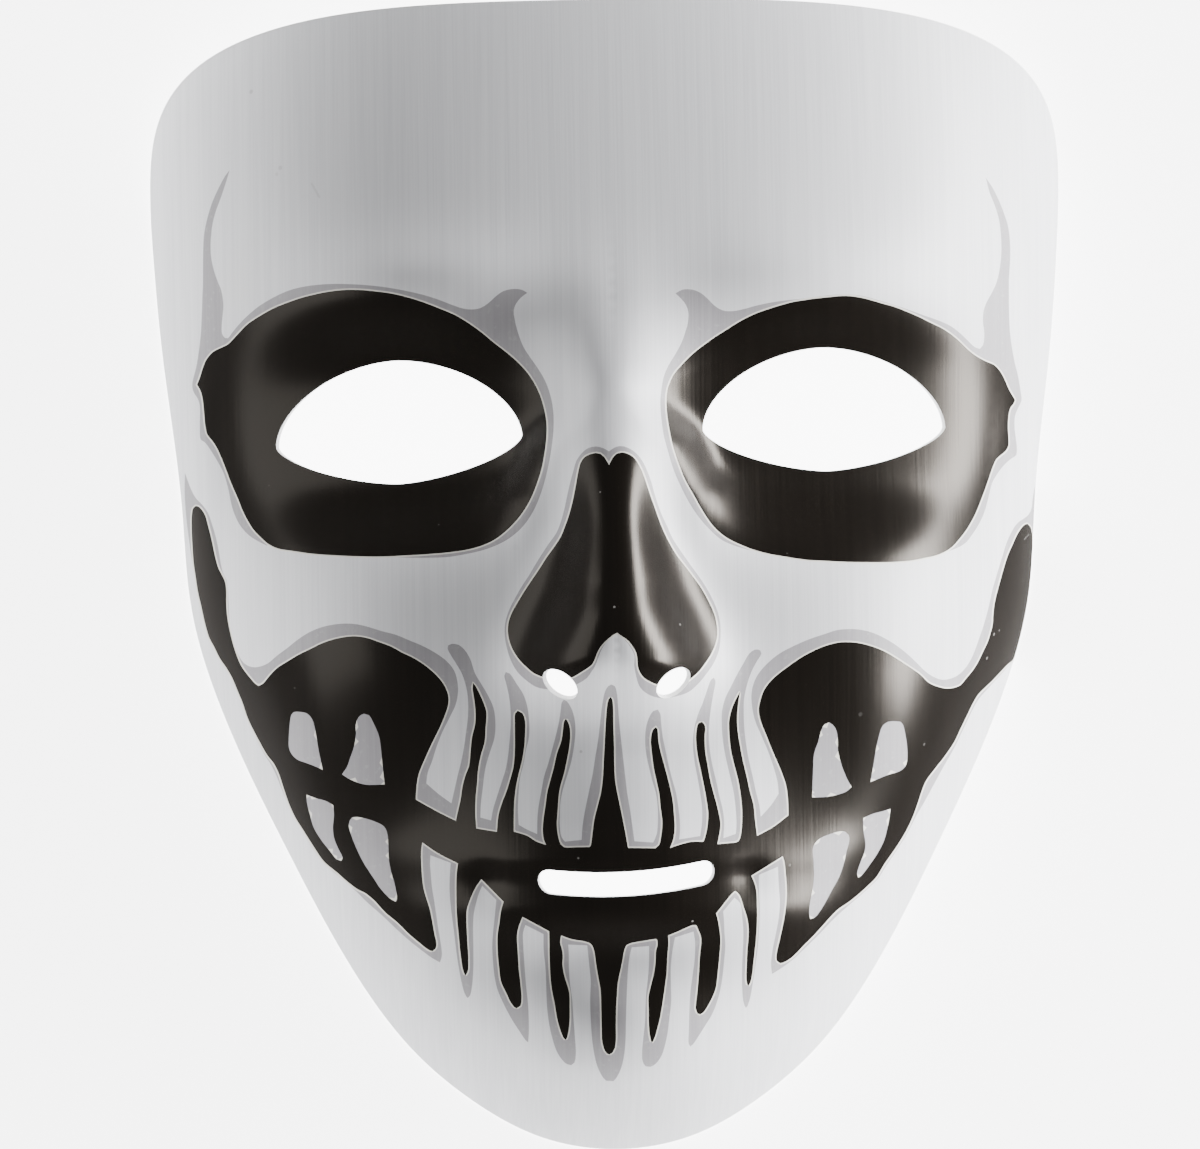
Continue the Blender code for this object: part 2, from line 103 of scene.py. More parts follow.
GREY_TEETH = (
    (-84.25, 23.3, 1), (-84.45, 20.0), (-84.35, 16.0), (-84.05, 13.0), (-83.6, 9.5), (-83.1, 6.0),
    (-82.5, 2.0), (-81.6, -3.0), (-80.3, -8.4), (-79.0, -11.3), (-77.7, -13.9), (-75.1, -18.0),
    (-73.2, -22.7), (-71.1, -28.2), (-68.7, -33.0), (-67.5, -34.9), (-66.6, -36.7), (-65.5, -39.6),
    (-64.2, -42.9), (-61.3, -48.4), (-57.7, -54.0), (-56.0, -55.6), (-53.9, -57.3), (-51.2, -59.6),
    (-48.9, -61.9), (-45.85, -64.6), (-42.8, -67.5), (-40.1, -69.9), (-38.2, -71.4), (-36.2, -72.9),
    (-34.6, -73.8, 1), (-34.2, -72.5), (-34.3, -70.6), (-34.7, -67.9), (-35.1, -64.85),
    (-35.5, -61.8), (-35.9, -59.1), (-36.1, -56.3), (-36.2, -54.5), (-36.1, -52.9, 1),
    (-32.2, -54.4, 1), (-32.4, -56.7), (-32.5, -59.85), (-32.25, -63.5), (-31.8, -67.5),
    (-31.4, -71.4), (-31.0, -74.5), (-30.5, -77.5), (-29.9, -79.85), (-29.3, -80.8), (-28.85, -80.3),
    (-28.35, -77.9), (-28.1, -74.5), (-28.05, -70.6), (-28.05, -67.2), (-27.9, -64.5),
    (-27.4, -62.2), (-26.7, -60.0), (-26.15, -58.9, 1), (-23.5, -61.6, 1), (-23.85, -64.85),
    (-24.2, -67.9), (-24.4, -70.6), (-24.3, -73.7), (-24.0, -76.8), (-23.5, -79.1), (-22.4, -81.8),
    (-20.85, -84.85), (-19.3, -87.35), (-18.15, -89.1), (-17.7, -89.5, 1), (-17.55, -88.0),
    (-17.5, -86.0), (-17.6, -82.2), (-17.95, -78.3), (-18.2, -74.5), (-18.4, -70.6), (-18.4, -67.9),
    (-17.95, -66.5, 1), (-14.5, -68.3, 1), (-14.5, -71.4), (-14.2, -74.7), (-14.1, -77.5),
    (-14.05, -80.4), (-13.95, -82.9), (-13.6, -85.8), (-13.1, -88.3), (-12.2, -91.2), (-11.1, -93.0),
    (-10.2, -93.8), (-9.4, -94.0), (-8.8, -93.5), (-8.5, -91.9), (-8.65, -88.3), (-8.9, -84.7),
    (-9.1, -81.1), (-9.5, -77.9), (-9.65, -74.7), (-9.65, -72.15), (-9.75, -70.4, 1),
    (-6.1, -70.6, 1), (-5.8, -73.9), (-5.5, -77.5), (-5.65, -81.1), (-5.6, -84.7), (-5.4, -88.3),
    (-5.05, -91.2), (-4.3, -94.4), (-3.2, -96.6), (-2.65, -97.2, 1), (-1.2, -97.3, 1),
    (-0.7, -96.7), (0.2, -94.8), (0.85, -91.9), (1.1, -89.0), (1.2, -85.4), (1.35, -81.8),
    (1.55, -78.3), (1.8, -74.7), (2.2, -72.15), (2.5, -71.1, 1), (5.8, -70.9, 1), (5.8, -73.9),
    (5.6, -76.8), (5.2, -79.7), (5.0, -82.6), (4.85, -85.8), (4.5, -89.0), (4.3, -91.5),
    (4.4, -93.3), (5.05, -94.4), (5.95, -94.5), (7.0, -93.9), (8.1, -92.3), (8.8, -90.1),
    (9.3, -87.6), (9.65, -84.7), (10.0, -81.8), (10.0, -78.6), (10.0, -75.4), (10.25, -72.5),
    (10.6, -70.4), (10.8, -69.3, 1), (14.4, -68.2, 1), (14.7, -70.4), (14.6, -73.9), (14.2, -76.8),
    (13.7, -80.4), (13.5, -84.0), (13.4, -87.6), (13.4, -90.1), (13.7, -90.7, 1), (14.2, -90.3),
    (15.3, -88.7), (16.7, -86.5), (18.0, -84.4), (18.9, -82.2), (19.6, -79.7), (20.1, -76.8),
    (20.4, -73.9), (20.6, -71.1), (20.4, -68.2), (20.3, -65.9), (20.15, -64.4, 1), (22.35, -61.8, 1),
    (23.5, -62.9), (23.85, -65.6), (24.1, -68.3), (24.05, -71.4), (23.9, -75.2), (23.9, -79.1),
    (24.2, -82.3), (24.7, -83.4), (25.3, -82.2), (26.05, -78.3), (26.6, -74.5), (27.0, -71.4),
    (27.2, -67.5), (27.3, -63.7), (27.2, -60.6), (27.2, -57.5, 1), (30.95, -56.0, 1), (31.1, -59.85),
    (31.3, -62.9), (31.05, -66.0), (30.5, -69.1), (29.9, -72.15), (29.6, -74.85), (29.8, -76.9, 1),
    (32.0, -75.6), (34.3, -73.9), (36.6, -71.8), (39.3, -69.3), (42.0, -66.6), (45.1, -63.95),
    (47.7, -61.9), (49.6, -60.3), (51.2, -58.8), (52.9, -56.3), (55.2, -53.1), (57.4, -49.7),
    (59.0, -46.7), (60.6, -44.1), (62.9, -40.1), (64.7, -37.0), (66.9, -33.4), (69.2, -28.9),
    (71.8, -24.2), (74.5, -21.4), (77.4, -18.7), (79.2, -17.0), (80.2, -16.4), (81.3, -15.2),
    (82.5, -12.6), (83.3, -8.0), (84.3, -3.0), (85.1, 2.0), (85.5, 7.0), (85.6, 12.0),
    (85.5, 16.0), (85.2, 19.0, 1), (84.8, 17.5), (84.4, 15.8), (84.2, 14.4), (83.4, 12.9),
    (82.1, 11.9), (80.8, 11.1), (79.8, 10.1), (78.7, 8.4), (77.8, 6.6), (77.05, 4.5),
    (76.1, 1.9), (75.4, -0.15), (74.7, -2.2), (74.1, -4.6), (73.4, -7.2), (72.5, -10.0),
    (71.7, -12.1), (70.9, -14.2), (69.9, -16.3), (68.6, -18.1), (67.0, -19.4), (65.5, -20.0),
    (63.9, -20.2), (62.4, -19.8), (60.6, -18.8), (58.4, -16.8), (56.6, -15.2), (54.3, -13.5),
    (52.1, -12.2), (49.9, -11.2), (47.6, -10.6), (45.4, -10.4), (42.7, -10.6), (40.4, -11.3),
    (37.3, -12.3), (34.2, -13.6), (31.5, -15.0), (29.2, -16.8), (27.4, -18.8), (26.4, -20.8),
    (26.0, -23.05), (26.2, -25.7), (26.75, -28.0), (27.9, -30.7), (29.2, -33.8), (30.3, -37.0),
    (31.0, -39.7), (31.2, -41.9, 1), (29.7, -44.1), (27.65, -46.3, 1), (27.4, -44.1), (26.75, -41.4),
    (26.1, -38.3), (25.4, -35.2), (24.95, -32.5), (24.6, -29.3), (24.5, -26.2), (24.6, -23.5),
    (25.2, -20.8), (26.1, -18.3), (27.2, -16.3), (28.0, -15.0), (27.8, -14.35), (26.75, -14.2),
    (25.6, -15.0), (24.5, -16.8), (23.2, -19.0), (22.0, -21.3), (20.9, -23.5), (20.3, -25.7),
    (20.2, -28.4), (20.4, -31.6), (20.9, -34.7), (21.6, -37.9), (22.3, -41.0), (22.7, -44.1),
    (22.9, -47.3), (22.75, -49.5, 1), (20.3, -50.3, 1), (20.5, -47.6), (20.3, -45.1), (19.6, -42.1),
    (19.0, -39.15), (18.4, -36.6), (17.9, -33.65), (17.7, -30.7), (17.8, -28.15), (18.15, -25.2),
    (18.6, -22.65), (19.0, -20.1), (18.7, -19.5), (18.15, -19.9), (17.4, -21.8), (16.5, -24.35),
    (15.6, -26.5), (14.9, -29.0), (14.6, -32.0), (14.8, -35.0), (15.3, -38.0), (15.8, -41.0),
    (16.2, -44.0), (16.2, -47.0), (15.8, -49.8, 1), (11.7, -50.4, 1), (11.9, -48.9), (11.9, -46.8),
    (11.6, -43.8), (11.2, -41.3), (10.5, -38.7), (9.9, -36.2), (9.3, -33.2), (8.8, -30.7),
    (8.5, -28.15), (8.3, -26.25), (7.8, -25.5), (6.9, -25.8), (6.1, -27.1), (5.55, -29.0),
    (5.4, -31.5), (5.6, -34.1), (6.1, -36.6), (6.7, -39.15), (7.4, -41.7), (7.65, -44.2),
    (7.65, -46.8), (7.4, -49.3), (6.7, -50.9, 1), (3.1, -50.6, 1), (2.7, -47.2), (2.3, -44.2),
    (1.85, -41.3), (1.5, -37.9), (1.15, -34.5), (0.8, -31.1), (0.45, -27.7), (0.2, -24.8),
    (-0.05, -22.2), (-0.45, -21.0), (-1.1, -20.7), (-1.7, -21.0), (-2.3, -22.0), (-2.8, -24.35),
    (-3.2, -27.7), (-3.6, -31.1), (-4.2, -34.5), (-4.7, -37.5), (-5.45, -40.85), (-6.2, -44.2),
    (-6.8, -47.6), (-7.0, -50.2, 1), (-10.2, -50.5, 1), (-10.8, -49.7), (-11.1, -48.0),
    (-11.1, -45.5), (-10.95, -43.0), (-10.4, -40.4), (-9.6, -37.9), (-8.7, -34.9), (-8.1, -31.5),
    (-7.9, -29.0), (-8.1, -26.9), (-8.7, -25.0), (-9.55, -23.7), (-10.1, -23.4), (-10.5, -23.9),
    (-10.7, -25.2), (-11.0, -27.3), (-11.6, -29.85), (-12.3, -32.4), (-13.15, -35.35),
    (-14.0, -37.9), (-14.6, -40.85), (-15.1, -43.4), (-15.4, -45.9), (-15.5, -49.0, 1),
    (-17.4, -48.1), (-19.0, -47.2, 1), (-19.1, -44.2), (-18.95, -41.3), (-18.65, -38.3),
    (-18.0, -35.8), (-17.4, -32.8), (-16.8, -30.3), (-16.75, -27.3), (-17.1, -24.35), (-17.8, -22.2),
    (-19.1, -20.1), (-20.35, -18.2), (-21.1, -17.9, 1), (-21.4, -18.6), (-21.1, -19.9),
    (-20.6, -22.2), (-20.3, -24.8), (-20.3, -28.15), (-20.6, -31.5), (-20.9, -34.1), (-21.4, -36.6),
    (-22.25, -39.15), (-23.1, -41.7), (-23.9, -44.2), (-24.3, -46.3, 1), (-26.35, -45.7, 1),
    (-26.2, -43.0), (-25.8, -40.0), (-25.4, -37.0), (-24.9, -34.9), (-24.2, -32.8), (-23.4, -30.3),
    (-23.2, -27.7), (-23.5, -24.8), (-24.6, -22.2), (-25.8, -20.1), (-27.0, -18.0), (-27.9, -15.2),
    (-29.0, -13.4), (-30.1, -12.5), (-31.4, -12.3), (-32.1, -12.6), (-32.2, -13.2), (-31.7, -14.3),
    (-30.6, -16.1), (-29.5, -18.1), (-28.7, -20.8), (-28.4, -23.5), (-28.5, -26.5), (-28.9, -29.4),
    (-29.3, -32.0), (-29.9, -34.9), (-30.6, -37.5), (-31.3, -40.4), (-31.9, -42.9, 1),
    (-34.2, -41.2), (-36.7, -39.0, 1), (-36.4, -37.0), (-35.5, -34.7), (-34.6, -32.0),
    (-33.5, -29.3), (-31.9, -26.2), (-30.8, -23.95), (-30.3, -21.5), (-30.4, -19.5), (-31.0, -17.4),
    (-32.4, -15.6), (-34.2, -14.2), (-36.8, -12.7), (-39.5, -11.5), (-42.2, -10.35), (-44.9, -9.6),
    (-47.6, -8.7), (-49.9, -8.15), (-52.1, -8.0), (-54.3, -8.15), (-56.6, -8.6), (-58.8, -9.4),
    (-61.1, -10.7), (-63.3, -12.3), (-65.6, -13.85), (-67.4, -15.2), (-69.15, -15.8), (-70.7, -15.8),
    (-72.3, -15.0), (-73.4, -13.4), (-74.3, -11.0), (-74.9, -8.5), (-75.2, -5.0), (-75.3, -1.0),
    (-75.6, 1.4), (-76.3, 2.8), (-76.7, 4.5), (-77.1, 7.0), (-77.6, 9.5), (-78.5, 12.6),
    (-79.4, 15.0), (-80.7, 16.75), (-81.9, 18.0), (-83.0, 20.0), (-83.75, 22.0),
)

# The grey teeth far back, which the black leaves open
BACK_TEETH = (
    (
        (-62.4, -24.8), (-61.1, -24.8), (-59.8, -25.1), (-58.8, -26.2), (-58.2, -28.4),
        (-57.6, -32.5), (-56.9, -36.1, 1), (-58.4, -35.4), (-60.2, -34.7), (-62.0, -34.0),
        (-63.1, -32.9), (-63.6, -31.6), (-63.5, -29.3), (-63.2, -26.6), (-62.9, -25.3),
    ),
    (
        (-48.6, -25.4), (-47.6, -25.7), (-46.7, -27.3), (-45.7, -29.8), (-45.4, -32.0),
        (-45.15, -35.2), (-44.8, -39.1, 1), (-48.5, -39.1), (-50.75, -38.4), (-52.3, -37.6),
        (-53.1, -37.0, 1), (-52.1, -35.6), (-51.4, -33.8), (-50.6, -31.6), (-50.2, -29.3),
        (-50.2, -27.5), (-49.6, -26.0),
    ),
    (
        (-60.3, -40.9, 1), (-58.2, -41.7), (-56.6, -42.1), (-55.0, -43.0, 1), (-54.9, -45.0),
        (-55.2, -47.3), (-55.0, -49.5), (-54.1, -51.8), (-53.4, -53.3), (-53.7, -53.9),
        (-54.6, -53.6), (-55.9, -52.0), (-57.5, -50.0), (-59.1, -47.3), (-59.7, -45.0),
        (-60.3, -42.3),
    ),
    (
        (-51.4, -45.5), (-50.3, -45.35), (-48.5, -45.7), (-46.5, -46.4), (-45.1, -47.2),
        (-44.5, -48.4), (-44.3, -50.9), (-44.25, -53.6), (-43.8, -56.3), (-43.1, -58.9),
        (-42.8, -61.4), (-43.1, -61.9), (-44.0, -61.4), (-45.8, -59.6), (-47.6, -56.9),
        (-49.4, -54.0), (-50.75, -51.1), (-51.65, -48.6), (-52.0, -46.8),
    ),
    (
        (55.3, -28.3), (54.3, -28.2), (52.8, -28.3), (51.7, -29.1), (51.1, -30.7), (50.5, -33.4),
        (49.9, -37.0), (49.4, -39.9, 1), (51.2, -39.2), (53.4, -38.4), (55.2, -37.9), (56.4, -37.0),
        (56.8, -35.6), (56.7, -32.9), (56.2, -30.2), (55.8, -28.8),
    ),
    (
        (41.1, -28.3), (40.2, -28.7), (39.6, -29.8), (39.0, -32.0), (38.2, -34.3), (38.0, -37.4),
        (37.8, -42.7, 1), (40.0, -42.7), (42.7, -42.3), (44.7, -41.6), (45.6, -40.8, 1),
        (44.7, -39.2), (43.6, -36.5), (42.9, -33.8), (42.8, -31.1), (42.3, -29.3),
    ),
    (
        (53.5, -45.2, 1), (51.65, -45.7), (49.9, -46.1), (48.0, -46.9, 1), (48.1, -49.5),
        (48.5, -51.8), (48.3, -53.6), (47.4, -55.8), (46.85, -57.8), (47.1, -58.5), (47.8, -58.05),
        (49.2, -56.3), (51.0, -53.8), (52.3, -51.3), (53.0, -48.6), (53.4, -46.4),
    ),
    (
        (44.4, -49.5), (43.35, -49.4), (41.3, -49.9), (39.5, -50.6), (38.4, -51.5), (37.9, -52.7),
        (38.05, -55.4), (38.1, -58.5), (37.7, -61.2), (37.2, -63.9), (37.2, -65.6), (37.4, -66.3),
        (38.2, -66.1), (39.7, -64.3), (41.6, -61.0), (43.15, -58.3), (44.0, -56.0), (44.7, -53.1),
        (45.2, -51.3), (45.1, -50.2),
    ),
)

PRINT_SPACING = 0.0007


def cubic(share, start, leaving, end, arriving):
    """The smooth run from one value and slope to the next."""
    return (
        start * (1 + 2 * share) * (1 - share) ** 2
        + leaving * share * (1 - share) ** 2
        + end * share**2 * (3 - 2 * share)
        + arriving * share**2 * (share - 1)
    )


def drawn(rows):
    """The smooth closed line through an outline's points, in metres, straight into corners."""
    points = np.array([row[:2] for row in rows]) / 1000
    corner = [len(row) == 3 for row in rows]
    ahead = np.roll(points, -1, axis=0) - points
    reach = np.sqrt(np.linalg.norm(ahead, axis=1))
    line = []
    for place in range(len(points)):
        after = (place + 1) % len(points)
        tangents = []
        for at, back in ((place, place - 1), (after, place)):
            if corner[at]:
                tangents.append(ahead[place])
                continue
            whole = reach[back] + reach[at]
            slope = ahead[back] / reach[back] - (ahead[back] + ahead[at]) / whole
            tangents.append((slope + ahead[at] / reach[at]) * reach[place])
        count = max(1, round(np.linalg.norm(ahead[place]) / PRINT_SPACING))
        share = np.linspace(0, 1, count, endpoint=False)[:, None]
        line.append(cubic(share, points[place], tangents[0], points[after], tangents[1]))
    return np.concatenate(line)


grey_lines = [drawn(rows) for rows in (GREY_LEFT_SOCKET, GREY_RIGHT_SOCKET, GREY_NOSE, GREY_TEETH)]
back_teeth_lines = [drawn(rows) for rows in BACK_TEETH]


# Black print
# The second colour, laid over the grey: the eye sockets, the hollow nose and the open jaw, which
# leaves the teeth bare. A glossier, warm black ink, with a hair's breadth of sheet left round it.

BLACK_LEFT_SOCKET = (
    (-81.15, 40.1, 1), (-80.6, 41.2), (-80.0, 42.8), (-79.3, 44.4), (-78.6, 45.3), (-77.7, 46.1),
    (-76.5, 46.6), (-74.6, 47.3), (-73.5, 48.2), (-72.0, 49.6), (-70.5, 50.9), (-67.0, 52.8),
    (-65.0, 53.7), (-62.5, 54.5), (-60.0, 55.2), (-57.0, 55.8), (-54.0, 56.2), (-51.0, 56.35),
    (-48.0, 56.2), (-45.0, 55.8), (-42.0, 55.3), (-39.0, 54.5), (-36.0, 53.5), (-33.0, 52.3),
    (-30.0, 51.0), (-27.5, 49.5), (-25.0, 47.7), (-22.5, 45.6), (-20.0, 43.6), (-18.0, 41.8),
    (-16.0, 39.5), (-14.5, 37.0), (-13.5, 34.5), (-12.9, 32.0), (-12.6, 29.5), (-12.7, 27.0),
    (-13.1, 24.0), (-13.7, 21.0), (-14.7, 18.0), (-16.0, 15.0), (-17.7, 12.3), (-20.0, 9.8),
    (-22.5, 7.8), (-25.0, 6.6), (-28.0, 5.8), (-32.0, 5.3), (-36.0, 5.05), (-40.0, 4.9),
    (-45.0, 4.8), (-50.0, 5.0), (-54.0, 5.3), (-58.0, 5.7), (-62.0, 6.4), (-65.0, 7.0),
    (-67.0, 8.0), (-68.5, 9.4), (-70.0, 11.0), (-72.0, 14.5), (-73.0, 17.0), (-74.5, 20.5),
    (-76.0, 24.5), (-77.4, 27.7), (-78.5, 29.3), (-79.2, 30.2), (-79.6, 32.0), (-79.8, 34.5),
    (-80.0, 37.0), (-80.3, 38.5), (-80.6, 39.2),
)
BLACK_RIGHT_SOCKET = (
    (80.1, 35.0, 1), (78.75, 37.0), (77.75, 39.0), (76.75, 40.5), (75.5, 41.6), (74.25, 42.0),
    (72.75, 42.6), (71.25, 43.4), (69.75, 44.5), (67.5, 46.4), (65.0, 48.0), (62.5, 49.1),
    (60.0, 50.2), (57.5, 51.15), (55.0, 52.0), (52.5, 52.6), (50.0, 53.25), (48.0, 53.65),
    (46.25, 53.85), (44.5, 53.85), (42.5, 53.65), (40.0, 53.4), (37.5, 53.05), (35.0, 52.65),
    (32.5, 52.0), (30.0, 51.25), (27.5, 50.35), (25.0, 49.15), (22.5, 47.65), (20.0, 46.1),
    (17.5, 44.35), (15.5, 42.75), (13.5, 40.75), (12.0, 39.0), (11.1, 37.25), (10.6, 35.5),
    (10.45, 33.5), (10.5, 31.5), (10.85, 28.5), (11.5, 25.0), (12.5, 21.75), (13.75, 18.5),
    (15.25, 15.75), (16.75, 13.0), (18.5, 10.25), (20.0, 8.6), (21.75, 7.25), (24.0, 6.1),
    (26.5, 5.1), (29.5, 4.25), (33.0, 3.6), (37.0, 3.0), (41.0, 2.75), (45.0, 2.55),
    (49.0, 2.5), (52.0, 2.5), (55.0, 2.6), (58.0, 2.9), (60.5, 3.4), (62.75, 3.9),
    (64.5, 4.6), (66.0, 5.5), (67.75, 7.25), (69.5, 9.4), (71.25, 12.25), (72.75, 15.5),
    (74.0, 18.5), (75.25, 21.75), (76.0, 23.25), (76.75, 23.9), (78.0, 24.9), (78.65, 26.0),
    (78.65, 27.5), (78.55, 30.0), (78.7, 32.0), (79.1, 33.5), (79.75, 34.2),
)
BLACK_NOSE = (
    (-0.88, 21.2, 1), (-1.3, 21.95), (-1.8, 22.8), (-2.5, 23.4), (-3.4, 23.6), (-4.4, 23.4),
    (-5.5, 22.9), (-6.3, 21.8), (-6.75, 20.2), (-7.2, 17.9), (-7.75, 15.2), (-8.15, 13.6),
    (-8.7, 11.7), (-9.4, 9.8), (-10.3, 7.7), (-11.65, 5.7), (-13.0, 3.9), (-14.3, 1.9),
    (-15.7, -0.1), (-17.0, -2.0), (-18.4, -4.2), (-19.7, -6.4), (-20.4, -8.2), (-20.6, -9.95),
    (-20.4, -11.7), (-19.7, -13.7), (-18.5, -15.6), (-17.0, -17.2), (-15.7, -18.3), (-14.1, -19.0),
    (-11.5, -19.6), (-9.1, -19.4), (-8.15, -19.1), (-6.8, -18.3), (-5.5, -17.5), (-4.65, -16.8),
    (-4.25, -16.0), (-3.8, -14.8), (-3.2, -13.7), (-2.2, -12.6), (-1.0, -11.6), (0.05, -11.0, 1),
    (1.0, -11.7), (2.2, -12.6), (3.0, -13.7), (3.6, -14.8), (3.8, -16.0), (3.9, -17.3),
    (4.25, -18.4), (5.05, -19.5), (6.8, -20.5), (9.5, -21.3), (12.3, -20.75), (13.3, -20.4),
    (14.3, -19.6), (15.7, -18.4), (17.0, -16.8), (18.1, -15.2), (18.9, -13.6), (19.4, -12.0),
    (19.5, -10.35), (19.3, -8.7), (18.8, -6.85), (17.8, -4.7), (16.5, -2.3), (15.15, -0.4),
    (13.5, 1.8), (11.9, 3.9), (10.6, 6.1), (9.8, 7.7), (9.1, 9.3), (8.4, 11.2),
    (7.75, 13.1), (7.1, 15.0), (6.5, 16.8), (5.9, 18.7), (5.2, 20.5), (4.5, 21.8),
    (3.7, 22.8), (2.6, 23.4), (1.55, 23.6), (0.5, 23.3), (-0.2, 22.6), (-0.6, 21.8),
)
